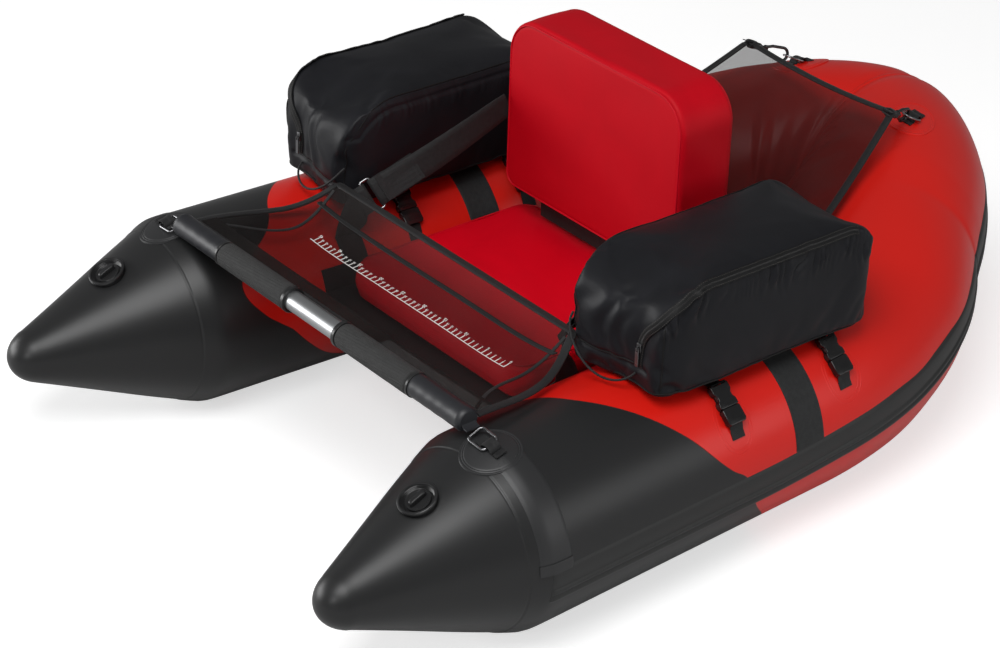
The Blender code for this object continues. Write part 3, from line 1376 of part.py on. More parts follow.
def stern_fitting(name, side):
    """A stern patch with its loop, the D-ring, the snap hook round it and the hook's gate."""
    loop_frame, ring_frame = stern_ring_frame(side)
    along = REACH[-1] - STERN_PATCH_INSET
    patch = add_piece(
        name + "_stern_patch",
        skin_patch(side, along, STERN_PATCH_ANGLE, STERN_PATCH_RADIUS, STERN_PATCH_GAP, PATCH_THICKNESS),
        "hull_red")
    combine(patch, webbing_loop(loop_frame, PATCH_THICKNESS / 2), "UNION")
    pivot = ring_frame.translation
    ring = d_ring(ring_frame, STERN_RING_REACH, STERN_RING_WIDTH)
    add_piece(name + "_stern_ring", wire(ring, STERN_RING_WIRE, WIRE_SIDES, closed=True), "steel", pivot)
    middle = hook_bend_place()
    neck = middle + HOOK_SHANK
    path = [Vector((0, neck + PRONG_ROOT, HOOK_NECK)), Vector((0, neck, HOOK_NECK))]
    for k in range(HOOK_ARC_STEPS + 1):
        turn = math.pi / 2 + math.pi * k / HOOK_ARC_STEPS
        path.append(Vector((0, middle + HOOK_BEND * math.cos(turn), HOOK_BEND * math.sin(turn))))
    tip = Vector((0, middle + HOOK_TIP, -HOOK_BEND))
    path.append(tip)
    wired = wire([ring_frame @ p for p in path], HOOK_WIRE, HOOK_SIDES)
    hook = add_piece(name + "_net_hook", wired, "plastic_black")
    half = HOOK_BASE_WIDTH / 2
    depth = HOOK_BASE_DEPTH
    outline = [(-half * NECK_WIDTH_SHARE, neck), (half * NECK_WIDTH_SHARE, neck), (half, neck + depth),
               (half, neck + HOOK_BASE_LENGTH), (-half, neck + HOOK_BASE_LENGTH), (-half, neck + depth)]
    combine(hook, prism(outline, depth, ring_frame), "UNION")
    slot = half - HOOK_WIRE
    eye = box((-slot, neck + depth, -depth), (slot, neck + HOOK_BASE_LENGTH - HOOK_WIRE, depth), ring_frame)
    combine(hook, eye, "DIFFERENCE")
    root = Vector((0, neck - GATE_CLEARANCE, -HOOK_NECK))
    heading = (tip - root).normalized()
    end = tip - heading * GATE_CLEARANCE
    gate_pivot = ring_frame @ root
    gate = wire([gate_pivot, ring_frame @ root.lerp(end, 0.5), ring_frame @ end], GATE_WIRE, HOOK_SIDES)
    add_piece(name + "_hook_gate", gate, "plastic_black", gate_pivot)
    return ring_frame @ Vector((0, neck + HOOK_BASE_LENGTH + NET_CORNER_MARGIN, 0))


def cargo_net(corner):
    """The cargo net behind the backrest, hung between the tubes, and its binding."""
    front = skin(1, along_at(NET_FRONT_Y), NET_FRONT_ANGLE, SKIN_GAP + NET_BINDING_THICKNESS / 2)

    def point(across, share):
        x = across * blend(front.x, abs(corner.x), share)
        y = blend(front.y, corner.y, share)
        edge_sag = NET_EDGE_SAG * 4 * share * (1 - share)
        middle_sag = NET_MIDDLE_SAG * (1 - across * across) * (MIDDLE_SAG_SHARE + 4 * share * (1 - share))
        height = blend(front.z, corner.z, share) - edge_sag - middle_sag / (1 + MIDDLE_SAG_SHARE)
        return Vector((x, y, clear_of_tube(x, y, height, SKIN_GAP + NET_BINDING_THICKNESS / 2)))

    def height(place, edge):
        return clear_of_tube(place.x, place.y, edge.z, SKIN_GAP + NET_BINDING_THICKNESS / 2)

    add_piece("cargo_net", sheet_of(point, NET_COLUMNS, NET_ROWS, NET_THICKNESS), "mesh_black")
    path = rim_path(point, NET_COLUMNS, NET_ROWS, True)
    add_piece("net_binding", binding(path, True, NET_BINDING_WIDTH, NET_BINDING_THICKNESS, height),
              "webbing_black")


stern_bulkhead()
spreader_bar()
apron()
sling_piece = seat_sling()
seat_cushion()
backrest()
for prefix, sign in SIDES.items():
    air_tube = air_chamber(prefix, sign)
    valve(prefix, sign, air_tube)
    rub_strake(prefix, sign)
    ring_place = bow_ring(prefix, bow_patch(prefix, sign))
    bar_fittings(prefix, sign, ring_place)
    back_strap(prefix, sign, sling_piece)
    side_bag(prefix, sign)
    zip_slider(prefix, sign)
    bag_band(prefix, sign)
    for end, place_y in (("front", BUCKLE_FRONT_Y), ("rear", BUCKLE_REAR_Y)):
        bag_buckle(prefix + "_" + end, sign, place_y)
        inner_buckle(prefix + "_" + end, sign, place_y)
    net_corner = stern_fitting(prefix, sign)
cargo_net(net_corner)
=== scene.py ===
"""The float tube, dressed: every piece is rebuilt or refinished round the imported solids.

Metres, +Z up, port is +X and the noses point to -Y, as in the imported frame.
"""

import bmesh
import bpy
import json
import math
import numpy as np
from mathutils import Matrix, Vector
from mathutils.bvhtree import BVHTree
from mathutils.geometry import interpolate_bezier


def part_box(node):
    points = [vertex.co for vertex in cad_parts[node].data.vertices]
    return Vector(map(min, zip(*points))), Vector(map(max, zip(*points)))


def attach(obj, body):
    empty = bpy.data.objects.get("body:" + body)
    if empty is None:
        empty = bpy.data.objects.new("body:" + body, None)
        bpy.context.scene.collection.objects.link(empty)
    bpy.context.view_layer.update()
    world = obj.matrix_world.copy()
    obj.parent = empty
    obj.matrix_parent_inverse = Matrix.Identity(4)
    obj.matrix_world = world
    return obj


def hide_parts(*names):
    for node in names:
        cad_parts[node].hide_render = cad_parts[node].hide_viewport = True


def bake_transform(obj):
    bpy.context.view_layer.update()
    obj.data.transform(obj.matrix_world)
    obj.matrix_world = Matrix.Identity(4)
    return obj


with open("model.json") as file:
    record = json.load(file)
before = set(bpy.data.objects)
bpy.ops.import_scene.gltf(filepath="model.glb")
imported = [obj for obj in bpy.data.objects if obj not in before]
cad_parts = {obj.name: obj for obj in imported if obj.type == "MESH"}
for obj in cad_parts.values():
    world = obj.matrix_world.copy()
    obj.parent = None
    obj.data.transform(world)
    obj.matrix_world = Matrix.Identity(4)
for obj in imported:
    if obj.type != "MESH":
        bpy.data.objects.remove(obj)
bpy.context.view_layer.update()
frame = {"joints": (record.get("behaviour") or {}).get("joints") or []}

# The two air chambers: coated fabric welded into straight arms with cone noses, which
# curve in to a raised stern. Black panels are lapped over the red from the noses to a
# swept edge, a hoop seam rings each cone, and the halves meet in a crease at the stern.
MIDDLE_Y = 0.80935  # from the nose tips to the frame's origin
NOSE_X, NOSE_Z, NOSE_RADIUS = 0.401, 0.147, 0.0372
ARM_RADIUS, STERN_RADIUS, STERN_LIFT = 0.150, 0.174, 0.050
CONE_SWELL, RISE_FROM, STERN_Y = 0.132, 1.0, 1.44
FACET_SHARE = math.cos(math.pi / 28)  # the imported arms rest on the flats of 28 facets
SIDE_NAMES = {1: "port", -1: "starboard"}


def ease(value, low, high):
    share = np.clip((np.asarray(value, float) - low) / (high - low), 0, 1)
    return share * share * (3 - 2 * share)


def hull_line():
    """Centre, radius and outward direction along the port tube, finely, from nose to stern."""
    def radius(y):
        return ARM_RADIUS + (STERN_RADIUS - ARM_RADIUS) * ease(y, RISE_FROM, STERN_Y)

    def height(y):
        return radius(y) * FACET_SHARE + STERN_LIFT * ease(y, RISE_FROM, STERN_Y)

    centres, radii = [], []
    for share in np.linspace(0, 1, 90)[:-1]:
        grown = share * (1 + CONE_SWELL * (1 - share))
        centres.append((NOSE_X - 0.013 * grown, NOSE_RADIUS + 0.2568 * share,
                        NOSE_Z + (height(0.3) - NOSE_Z) * grown))
        radii.append(NOSE_RADIUS + (ARM_RADIUS - NOSE_RADIUS) * grown)
    start, end = Vector((0.388, 0.294, 0)), Vector((0.3616, 0.888, 0))
    shoulder, stern = Vector((0.218, 1.2326, 0)), Vector((0, STERN_Y, 0))
    turn = math.radians(137.5)
    heading = Vector((math.cos(turn), math.sin(turn), 0))
    flat = [start.lerp(end, k / 110) for k in range(110)]
    flat += interpolate_bezier(end, end + (end - start).normalized() * 0.1251,
                               shoulder - heading * 0.1271, shoulder, 80)
    flat += interpolate_bezier(shoulder, shoulder + heading * 0.0701,
                               stern + Vector((0.0744, 0, 0)), stern, 70)[1:]
    centres += [(point.x, point.y, float(height(point.y))) for point in flat]
    radii += [float(radius(point.y)) for point in flat]
    centres, radii = np.array(centres), np.array(radii)
    window = np.hanning(13) / np.hanning(13).sum()
    near_kink = (centres[:, 1] > 0.24) & (centres[:, 1] < 0.36)
    radii = np.where(near_kink, np.convolve(radii, window, "same"), radii)
    step = np.gradient(centres, axis=0)
    step[-1] = (-1, 0, 0)
    outward = np.stack([step[:, 1], -step[:, 0], 0 * radii], 1)
    outward /= np.linalg.norm(outward, axis=1)[:, None]
    bends = centres[:, 1] > 0.80
    most = 0.80 * centres[:, 0] / radii
    outward[:, 0] = np.where(bends, np.minimum(outward[:, 0], most), outward[:, 0])
    outward[:, 1] = np.sqrt(1 - outward[:, 0] ** 2) * np.where(bends, 1, np.sign(outward[:, 1]))
    along = np.r_[0, np.cumsum(np.linalg.norm(np.diff(centres, axis=0), axis=1))]
    centres[:, 1] -= MIDDLE_Y
    return centres, radii, outward, along


CENTRES, RADII, OUTWARD, ALONG = hull_line()
STERN_END = ALONG[-1]


def along_at(y_from_nose):
    return float(np.interp(y_from_nose - MIDDLE_Y, CENTRES[:, 1], ALONG))


def on_line(values, along):
    return float(np.interp(along, ALONG, values))


def skin(side, along, angle, lift=0.0):
    """Points on the tube: the angle in radians is 0 outside, a quarter turn on top."""
    along, angle, lift = np.broadcast_arrays(np.asarray(along, float),
                                             np.asarray(angle, float), lift)
    centre, out = (np.stack([np.interp(along, ALONG, line[:, k]) for k in range(3)], -1)
                   for line in (CENTRES, OUTWARD))
    reach = np.interp(along, ALONG, RADII) + lift
    point = centre + out * (reach * np.cos(angle))[..., None]
    point[..., 2] += reach * np.sin(angle)
    point[..., 0] *= side
    return point


def axes(origin, x, y, z):
    return Matrix.Translation(origin) @ Matrix((x, y, z)).transposed().to_4x4()


def moved(x, y, z):
    return Matrix.Translation((x, y, z))


def square_to(way, axis):
    """The part of a direction square to a unit axis, as a unit vector."""
    return (way - axis * way.dot(axis)).normalized()


def skin_frame(side, along, angle, lift=0.0):
    """A frame on the skin: X along the tube, Y on over it, Z out, and port's X runs aft."""
    here = Vector(skin(side, along, angle, lift))
    ahead = Vector(skin(side, along + 0.003, angle, lift)
                   - skin(side, along - 0.003, angle, lift)) * side
    around = Vector(skin(side, along, angle + 0.02, lift)) - here
    z = ahead.cross(around).normalized()
    x = square_to(ahead, z)
    return axes(here, x, z.cross(x), z)


def show(name, data):
    """A new object in the scene."""
    piece = bpy.data.objects.new(name, data)
    bpy.context.scene.collection.objects.link(piece)
    return piece


def from_bmesh(name, bm):
    mesh = bpy.data.meshes.new(name)
    bm.to_mesh(mesh)
    bm.free()
    return show(name, mesh)


def from_grid(name, grid, closed_rows=False, closed_columns=False, uv=None):
    """A mesh object from an array of points; uv gives (u, v) for each row and column edge."""
    rows, columns = len(grid), len(grid[0])
    points = np.asarray(grid, float).reshape(-1, 3)
    faces, coords = [], []
    for i in range(rows if closed_rows else rows - 1):
        for j in range(columns if closed_columns else columns - 1):
            a, b = (i + 1) % rows, (j + 1) % columns
            faces.append((i * columns + j, i * columns + b, a * columns + b, a * columns + j))
            if uv is not None:
                coords += [uv[i][j], uv[i][j + 1], uv[i + 1][j + 1], uv[i + 1][j]]
    mesh = bpy.data.meshes.new(name)
    mesh.from_pydata(points.tolist(), [], faces)
    if uv is not None:
        layer = mesh.uv_layers.new(name="lay")
        layer.data.foreach_set("uv", np.asarray(coords, np.float32).ravel())
    return show(name, mesh)


def crease(piece, degrees):
    """Shade smooth, with edges that turn by more than the angle kept sharp."""
    piece.data.shade_smooth()
    piece.data.set_sharp_from_angle(angle=math.radians(degrees))
    return piece


def sealed(piece, caps=True, sharp=60):
    """Merge doubles, cap open ends, point the faces outwards and shade smooth."""
    bm = bmesh.new()
    bm.from_mesh(piece.data)
    bmesh.ops.remove_doubles(bm, verts=bm.verts, dist=1e-6)
    if caps:
        bmesh.ops.holes_fill(bm, edges=[e for e in bm.edges if e.is_boundary], sides=0)
    bmesh.ops.recalc_face_normals(bm, faces=bm.faces)
    bm.to_mesh(piece.data)
    bm.free()
    return crease(piece, sharp)


def loft(name, rows, sharp=60, ring=False, columns=True, caps=True):
    """A closed shell through rows of points; ring joins the last row to the first."""
    return sealed(from_grid(name, rows, ring, columns), caps, sharp)


def baked(piece):
    """The piece with its modifiers turned into plain mesh."""
    evaluated = piece.evaluated_get(bpy.context.evaluated_depsgraph_get())
    mesh = bpy.data.meshes.new_from_object(evaluated)
    piece.modifiers.clear()
    piece.data = mesh
    return piece


def cut_out(piece, tool, use_self=False):
    """Cut a tool's shape out of a piece, and drop the tool."""
    cut = piece.modifiers.new("cut", "BOOLEAN")
    cut.operation, cut.solver, cut.object, cut.use_self = "DIFFERENCE", "EXACT", tool, use_self
    baked(piece)
    bpy.data.objects.remove(tool)


def dress(piece, material, slot, *stands_for, body="hull"):
    """Give a finished piece its material, its body and the solids it stands for."""
    if material is not None:
        piece.data.materials.clear()
        piece.data.materials.append(material)
    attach(piece, body)
    if stands_for:
        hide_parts(*stands_for)
    return piece


def fill(tree, node, sockets):
    """Link a node's inputs to sockets, or set them to values."""
    for key, value in sockets.items():
        if isinstance(value, bpy.types.NodeSocket):
            tree.links.new(value, node.inputs[key])
        else:
            node.inputs[key].default_value = value
    return node


def put(tree, kind, sockets=None, **settings):
    node = tree.nodes.new(kind)
    for key, value in settings.items():
        setattr(node, key, value)
    return fill(tree, node, sockets or {})


def maths(tree, operation, *values):
    return put(tree, "ShaderNodeMath", dict(enumerate(values)), operation=operation).outputs[0]


def spread(tree, value, low, high, to_low=0.0, to_high=1.0):
    return put(tree, "ShaderNodeMapRange", {"Value": value, "From Min": low, "From Max": high,
                                            "To Min": to_low, "To Max": to_high}).outputs[0]


def noise(tree, vector, scale, detail, **more):
    return put(tree, "ShaderNodeTexNoise", {"Vector": vector, "Scale": scale, "Detail": detail,
                                            **more}).outputs["Fac"]


def toned(tree, colour, value):
    colour = (*colour, 1) if isinstance(colour, tuple) else colour
    return put(tree, "ShaderNodeHueSaturation", {"Color": colour, "Value": value}).outputs[0]


def raised(tree, height, strength, distance, **under):
    return put(tree, "ShaderNodeBump", {"Strength": strength, "Distance": distance,
                                        "Height": height, **under}).outputs[0]


def object_place(tree):
    return put(tree, "ShaderNodeTexCoord").outputs["Object"]


def finish(name, roughness, metallic=0.0, sheen=0.0, specular=0.5):
    """A Principled material and its tree; colour and bump are joined up by the caller."""
    material = bpy.data.materials.new(name)
    material.use_nodes = True
    shader = material.node_tree.nodes["Principled BSDF"]
    fill(material.node_tree, shader, {"Roughness": roughness, "Metallic": metallic,
                                      "Sheen Weight": sheen, "Specular IOR Level": specular})
    return material, material.node_tree, shader


def group(name, wanted, given):
    """An empty shader group with named sockets."""
    tree = bpy.data.node_groups.new(name, "ShaderNodeTree")
    for label, kind, value in wanted:
        tree.interface.new_socket(label, in_out="INPUT",
                                  socket_type="NodeSocket" + kind).default_value = value
    for label, kind in given:
        tree.interface.new_socket(label, in_out="OUTPUT", socket_type="NodeSocket" + kind)
    return tree, tree.nodes.new("NodeGroupInput").outputs, tree.nodes.new("NodeGroupOutput")


def grain_group():
    """Fine moulding or coating grain over broad uneven tone, for coated fabric and plastic."""
    tree, given, out = group(
        "Coating grain",
        [("Colour", "Color", (0.5, 0.5, 0.5, 1)), ("Grain size", "Float", 900.0),
         ("Tone size", "Float", 5.0), ("Tone change", "Float", 0.12),
         ("Roughness", "Float", 0.4), ("Uneven", "Float", 0.08)],
        [("Colour", "Color"), ("Roughness", "Float"), ("Height", "Float")])
    place = object_place(tree)
    fine = noise(tree, place, given["Grain size"], 3.0, Roughness=0.6)
    broad = noise(tree, place, given["Tone size"], 5.0, Roughness=0.55)
    centred = maths(tree, "ADD", broad, -0.5)
    value = maths(tree, "ADD", maths(tree, "MULTIPLY", centred, given["Tone change"]), 1.0)
    fill(tree, out, {
        "Colour": toned(tree, given["Colour"], value), "Height": fine,
        "Roughness": maths(tree, "MULTIPLY_ADD", centred, given["Uneven"], given["Roughness"])})
    return tree


GRAIN = grain_group()


def coated(tree, shader, colour, roughness, grain, tone, change, uneven, depth, strength, **under):
    """Join the coating grain up to a shader."""
    cover = put(tree, "ShaderNodeGroup", {
        "Colour": colour, "Roughness": roughness, "Grain size": grain, "Tone size": tone,
        "Tone change": change, "Uneven": uneven}, node_tree=GRAIN).outputs
    fill(tree, shader, {"Base Color": cover["Colour"], "Roughness": cover["Roughness"],
                        "Normal": raised(tree, cover["Height"], strength, depth, **under)})


def grained(name, colour, roughness, grain=900.0, tone=5.0, change=0.12, uneven=0.08,
            depth=0.00008, **settings):
    """A material of one colour with the coating grain."""
    material, tree, shader = finish(name, roughness, **settings)
    coated(tree, shader, (*colour, 1), roughness, grain, tone, change, uneven, depth, 0.5)
    return material


HULL_RED, PANEL_BLACK = (0.640, 0.0105, 0.0055), (0.0145, 0.0147, 0.0152)
PANEL_EDGE = (  # angle in degrees and distance from the nose tips of the black panel's aft edge
    (-180, 0.415), (-163, 0.455), (-147, 0.500), (-120, 0.615), (-90, 0.715), (-62, 0.762),
    (-45, 0.752), (-17, 0.698), (6, 0.668), (14, 0.640), (44, 0.572), (62, 0.530), (80, 0.487),
    (91, 0.463), (115, 0.424), (131, 0.372), (147, 0.340), (163, 0.362), (180, 0.415))
SKIN_LENGTH = 1.65  # what a full unit of the skin's U stands for
NOSE_FULLER, NOSE_RUN = 0.0055, 0.14  # air rounds the nose out into the cone, and how far along
HOOP_SEAM, RING_SIDES = 0.2612, 120


def skin_lift(along, depth, turns):
    """How far seams, crease, folds and air move the skin from the plain tube."""
    from_crease = STERN_END - along
    lift = NOSE_FULLER * max(0.0, 1 - along / NOSE_RUN) ** 2
    lift = lift + 0.0009 * ease(depth, HOOP_SEAM - 0.0007, HOOP_SEAM + 0.0018) \
        - 0.0006 * np.exp(-((depth - HOOP_SEAM) / 0.0010) ** 2)
    lift = lift - 0.0042 * math.exp(-(from_crease / 0.013) ** 2) \
        + 0.0022 * math.exp(-(from_crease / 0.0022) ** 2)
    inner = ease(np.cos(turns - math.pi), 0.15, 0.85) * ease(depth, 0.98, 1.16) \
        * ease(from_crease, 0.0, 0.04)
    waves = np.sin(along * 78.0 + 0.9 * np.sin(turns * 2.0)) * np.sin(along * 21.0 + 1.0)
    outer = ease(np.cos(turns), 0.2, 0.95) * ease(depth, 0.9, 1.1)
    return lift + inner * (0.0028 * waves - 0.0012) + outer * 0.0006 * np.sin(along * 46.0)


def hull_skin():
    """One continuous skin over both chambers, with its seams, crease and soft folds."""
    seam_from, seam_to = along_at(0.254), along_at(0.272)
    stops = np.concatenate([
        np.arange(0, seam_from, 0.0085), np.arange(seam_from, seam_to, 0.0012),
        np.arange(seam_to, STERN_END - 0.03, 0.0085),
        np.arange(STERN_END - 0.03, STERN_END - 0.001, 0.0016), [STERN_END]])
    turns = np.radians(np.linspace(-180, 180, RING_SIDES + 1))[:-1]
    nose_x, nose_y, nose_z = CENTRES[0]
    rings, places = [], []
    for tilt in [math.pi / 2 * k / 13 for k in range(1, 13)]:
        reach = RADII[0] * math.sin(tilt) + NOSE_FULLER * (1 - math.cos(tilt)) ** 2.17
        rings.append(np.array([(nose_x + reach * math.cos(turn), nose_y - RADII[0] * math.cos(tilt),
                                nose_z + reach * math.sin(turn)) for turn in turns]))
        places.append(0.01)
    for along in stops:
        depth = float(np.interp(along, ALONG, CENTRES[:, 1] + MIDDLE_Y))
        rings.append(skin(1, along, turns, skin_lift(along, depth, turns)))
        places.append(depth)
    grid = np.array(rings + [ring * np.array([-1, 1, 1]) for ring in reversed(rings[:-1])])
    places += places[-2::-1]
    grid[..., 2] = np.maximum(grid[..., 2], 0)
    uv = [[(place / SKIN_LENGTH, j / RING_SIDES) for j in range(RING_SIDES + 1)]
          for place in places]
    piece = from_grid("hull_skin", grid, closed_columns=True, uv=uv)
    bm = bmesh.new()
    bm.from_mesh(piece.data)
    bm.verts.ensure_lookup_table()
    layer = bm.loops.layers.uv["lay"]
    for first, side in ((0, 1), (len(bm.verts) - RING_SIDES, -1)):
        pole = bm.verts.new((side * nose_x, nose_y - RADII[0], nose_z))
        bm.verts.ensure_lookup_table()
        for j in range(RING_SIDES):
            face = bm.faces.new((bm.verts[first + j], bm.verts[first + (j + 1) % RING_SIDES], pole))
            for loop in face.loops:
                loop[layer].uv = (0.006, (j + 0.5) / RING_SIDES)
    bmesh.ops.recalc_face_normals(bm, faces=bm.faces)
    bm.to_mesh(piece.data)
    bm.free()
    piece.data.shade_smooth()
    return piece


def hull_finish():
    material, tree, shader = finish("hull coating", 0.36, specular=0.36)
    lay = put(tree, "ShaderNodeUVMap", uv_map="lay")
    parts = put(tree, "ShaderNodeSeparateXYZ", {0: lay.outputs[0]}).outputs
    edge = put(tree, "ShaderNodeFloatCurve", {"Value": parts["Y"]})
    curve = edge.mapping.curves[0]
    while len(curve.points) < len(PANEL_EDGE):
        curve.points.new(0.5, 0.5)
    for point, (angle, place) in zip(curve.points, PANEL_EDGE):
        point.location = ((angle + 180) / 360, place / SKIN_LENGTH)
        point.handle_type = "AUTO_CLAMPED"
    edge.mapping.update()
    past = maths(tree, "SUBTRACT", parts["X"], edge.outputs[0])
    red = spread(tree, past, -0.0002, 0.0002)
    # A thin reddish-brown band just inside the black panel's aft edge is a painted highlight along
    # the lapped edge; the step itself is the lap bump below.
    rim = maths(tree, "SUBTRACT", spread(tree, past, -0.0012, 0.0), red)
    colour = put(tree, "ShaderNodeMix", {"Factor": red, 6: (*PANEL_BLACK, 1), 7: (*HULL_RED, 1)},
                 data_type="RGBA")
    lit = put(tree, "ShaderNodeMix", {"Factor": rim, 6: colour.outputs[2],
                                      7: (0.10, 0.035, 0.03, 1)}, data_type="RGBA")
    lap = raised(tree, spread(tree, past, -0.0007, 0.0003, 1.0, 0.0), 1.0, 0.0006)
    coated(tree, shader, lit.outputs[2], spread(tree, red, 0.0, 1.0, 0.37, 0.33), 700.0, 3.2, 0.10,
           0.10, 0.00008, 0.35, Normal=lap)
    return material


def disc_tool(place, radius, low, high):
    """A round cutter along a frame's Z."""
    bm = bmesh.new()
    bmesh.ops.create_cone(bm, cap_ends=True, segments=64, radius1=radius, radius2=radius,
                          depth=high - low, matrix=place @ moved(0, 0, (low + high) / 2))
    return from_bmesh("tool", bm)


HULL_FINISH = hull_finish()
hull = hull_skin()
for side in SIDE_NAMES:
    valve_place = skin_frame(side, along_at(0.175), math.pi / 2)
    cut_out(hull, disc_tool(valve_place, 0.0275, -0.012, 0.02))
hull.data.set_sharp_from_angle(angle=math.radians(50))
dress(hull, HULL_FINISH, "hull_red", "port_air_chamber", "starboard_air_chamber", "stern_bulkhead")

# The rubbing strakes: a black extruded strip welded along each tube's outside from the
# cone to the stern, plain on its upper half with two rounded ribs and a lip below.
STRAKE_WIDTH, STRAKE_RISE, STRAKE_FROM = 0.060, 0.0042, 0.292
STRAKE_PROFILE = (  # across as a share of the width, and height as a share of the rise
    (-0.50, 0.06), (-0.47, 0.20), (-0.44, 0.26), (-0.425, 0.60), (-0.40, 0.88), (-0.36, 1.0),
    (-0.32, 0.96), (-0.29, 0.70), (-0.27, 0.42), (-0.245, 0.36), (-0.22, 0.44), (-0.20, 0.72),
    (-0.17, 0.97), (-0.13, 1.0), (-0.09, 0.92), (-0.07, 0.66), (-0.05, 0.46), (-0.02, 0.42),
    (0.06, 0.52), (0.20, 0.60), (0.34, 0.60), (0.41, 0.54), (0.44, 0.30), (0.47, 0.18),
    (0.50, 0.06), (0.50, -0.35), (-0.50, -0.35))


def strake_angle(depth):
    return math.radians(-5.5) + math.radians(10) * ease(depth, 0.700, 1.150)


def rub_strake(side):
    """Lofted along the tube, its fore end rounded down on to the skin."""
    across, lift = np.array(STRAKE_PROFILE).T
    start = along_at(STRAKE_FROM)
    rows = []
    for past in np.concatenate([[0, 0.0012, 0.003], np.linspace(0.006, STERN_END - start, 190)]):
        share = np.interp(past, [0, 0.0012, 0.003, 0.006], [0.2, 0.62, 0.9, 1.0])
        along = min(start + past, STERN_END)
        middle = float(strake_angle(on_line(CENTRES[:, 1], along) + MIDDLE_Y))
        rows.append(skin(side, along, middle + across * STRAKE_WIDTH / on_line(RADII, along),
                         0.0004 + lift * share * STRAKE_RISE))
    return loft(SIDE_NAMES[side] + "_strake", rows, sharp=50)


STRAKE_FINISH = grained("strake rubber", (0.0100, 0.0103, 0.0103), 0.50, grain=500, change=0.2,
                        depth=0.0001)
for side, name in SIDE_NAMES.items():
    dress(rub_strake(side), STRAKE_FINISH, "weld_black", name + "_rub_strake")

# The inflation valves: a moulded boss let into each cone, with a raised flange, a dark
# stepped recess and a thread, and a screw cap turned by its thumb bar.
THUMB_LENGTH, THUMB_WIDTH, BOSS_TOP = 0.030, 0.0085, 0.0083
JOINTS = {joint["name"]: joint for joint in frame["joints"]}


def joint_axis(name):
    return Vector(JOINTS[name]["axis"]).normalized()


def joint_frame(name, x_hint):
    """The place of a packed joint: Z along its axis, X nearest to the hint."""
    z = joint_axis(name)
    x = square_to(Vector(x_hint), z)
    return axes(JOINTS[name]["pos_m"], x, z.cross(x), z)


def turned(name, profile, place, sides=64, ring=False, wobble=None):
    """Revolve (radius, height) points about a frame's Z; ring closes the section on itself."""
    rows = []
    for turn in [math.tau * k / sides for k in range(sides)]:
        row = []
        for radius, height in profile:
            radius = radius + (wobble(turn, height) if wobble else 0)
            row.append(place @ Vector((radius * math.cos(turn), radius * math.sin(turn), height)))
        rows.append(row)
    return loft(name, rows, 32, ring=True, columns=ring)


def rounded_rectangle(half_x, half_y, radius, steps=6):
    points = []
    for index, (sx, sy) in enumerate(((1, 1), (-1, 1), (-1, -1), (1, -1))):
        for k in range(steps + 1):
            turn = math.pi / 2 * (index + k / steps)
            points.append((sx * (half_x - radius) + radius * math.cos(turn),
                           sy * (half_y - radius) + radius * math.sin(turn)))
    return points


def stacked(name, outline, levels, place):
    """An outline stacked along a frame's Z; each level is (inset share, height)."""
    return loft(name, [[place @ Vector((x * share, y * share, height)) for x, y in outline]
                       for share, height in levels], 32)


def moulded(name, outline, depth, place, edge=0.0006):
    """A flat moulding with softened rims, from the frame's XY plane up to its depth."""
    bm = bmesh.new()
    low, high = ([bm.verts.new(place @ Vector((x, y, z))) for x, y in outline] for z in (0, depth))
    rims = [e for side in (low, high) for e in bm.faces.new(side).edges]
    for i in range(len(low)):
        j = (i + 1) % len(low)
        bm.faces.new((low[i], low[j], high[j], high[i]))
    bmesh.ops.recalc_face_normals(bm, faces=bm.faces)
    bmesh.ops.bevel(bm, geom=rims, offset=edge, segments=3, profile=0.5, affect="EDGES",
                    clamp_overlap=True)
    return sealed(from_bmesh(name, bm), sharp=32)


def join(name, *pieces):
    """One object from several separate shells that are made and fixed as one piece."""
    bm = bmesh.new()
    for piece in pieces:
        bm.from_mesh(piece.data)
        bpy.data.objects.remove(piece)
    return crease(from_bmesh(name, bm), 34)


VALVE_FINISH = grained("valve plastic", (0.012, 0.012, 0.0125), 0.30, grain=1500, depth=0.00003)
for side, name in SIDE_NAMES.items():
    place = joint_frame(name + "_cap_turn", (0, 1, 0)) @ moved(0, 0, 0.0002)
    boss = turned(name + "_valve_boss", [
        (0.0072, -0.012), (0.0072, 0.0001), (0.0205, 0.0001), (0.0215, 0.0012), (0.0222, 0.0016),
        (0.0226, 0.0030), (0.0232, 0.0034), (0.0236, 0.0050), (0.0243, 0.0054),
        (0.0249, BOSS_TOP - 0.0008), (0.0257, BOSS_TOP), (0.0278, BOSS_TOP),
        (0.0290, BOSS_TOP - 0.0006), (0.0295, BOSS_TOP - 0.0018), (0.0297, 0.0049),
        (0.0268, 0.0044), (0.0268, -0.012)], place, sides=96, ring=True)
    dress(boss, VALVE_FINISH, "plastic_black", name + "_valve_body")
    disc = turned("disc", [(0, 0.0005), (0.0186, 0.0005), (0.0190, 0.0010), (0.0190, 0.0030),
                           (0.0184, 0.0037), (0.0160, 0.0037), (0.0155, 0.0032), (0.0040, 0.0032),
                           (0, 0.0032)], place, sides=96)
    thumb = stacked("thumb", rounded_rectangle(THUMB_LENGTH / 2, THUMB_WIDTH / 2, 0.0040, 8),
                    [(1, 0.0030), (0.98, 0.0075), (0.93, 0.0096), (0.84, 0.0106), (0.72, 0.0110)],
                    place)
    grips = [stacked("rib", rounded_rectangle(0.0006, 0.0008, 0.0004, 3),
                     [(1, 0), (1, 0.0052), (0.5, 0.0060)],
                     place @ moved(k * 0.0042, edge * 0.0041, 0.0032))
             for k in (-2, -1, 0, 1, 2) for edge in (-1, 1)]
    dress(join(name + "_valve_screw_cap", disc, thumb, *grips), VALVE_FINISH, "plastic_black",
          name + "_valve_cap", body=name + "_cap")

# The bow patches: a round of coated fabric welded on top of each cone's shoulder, whose
# tail runs down outside to the strake. Webbing rolled round a steel ring is sewn on it.
PATCH_FROM_NOSE, PATCH_ANGLE, PATCH_RADIUS = 0.290, math.radians(84), 0.045


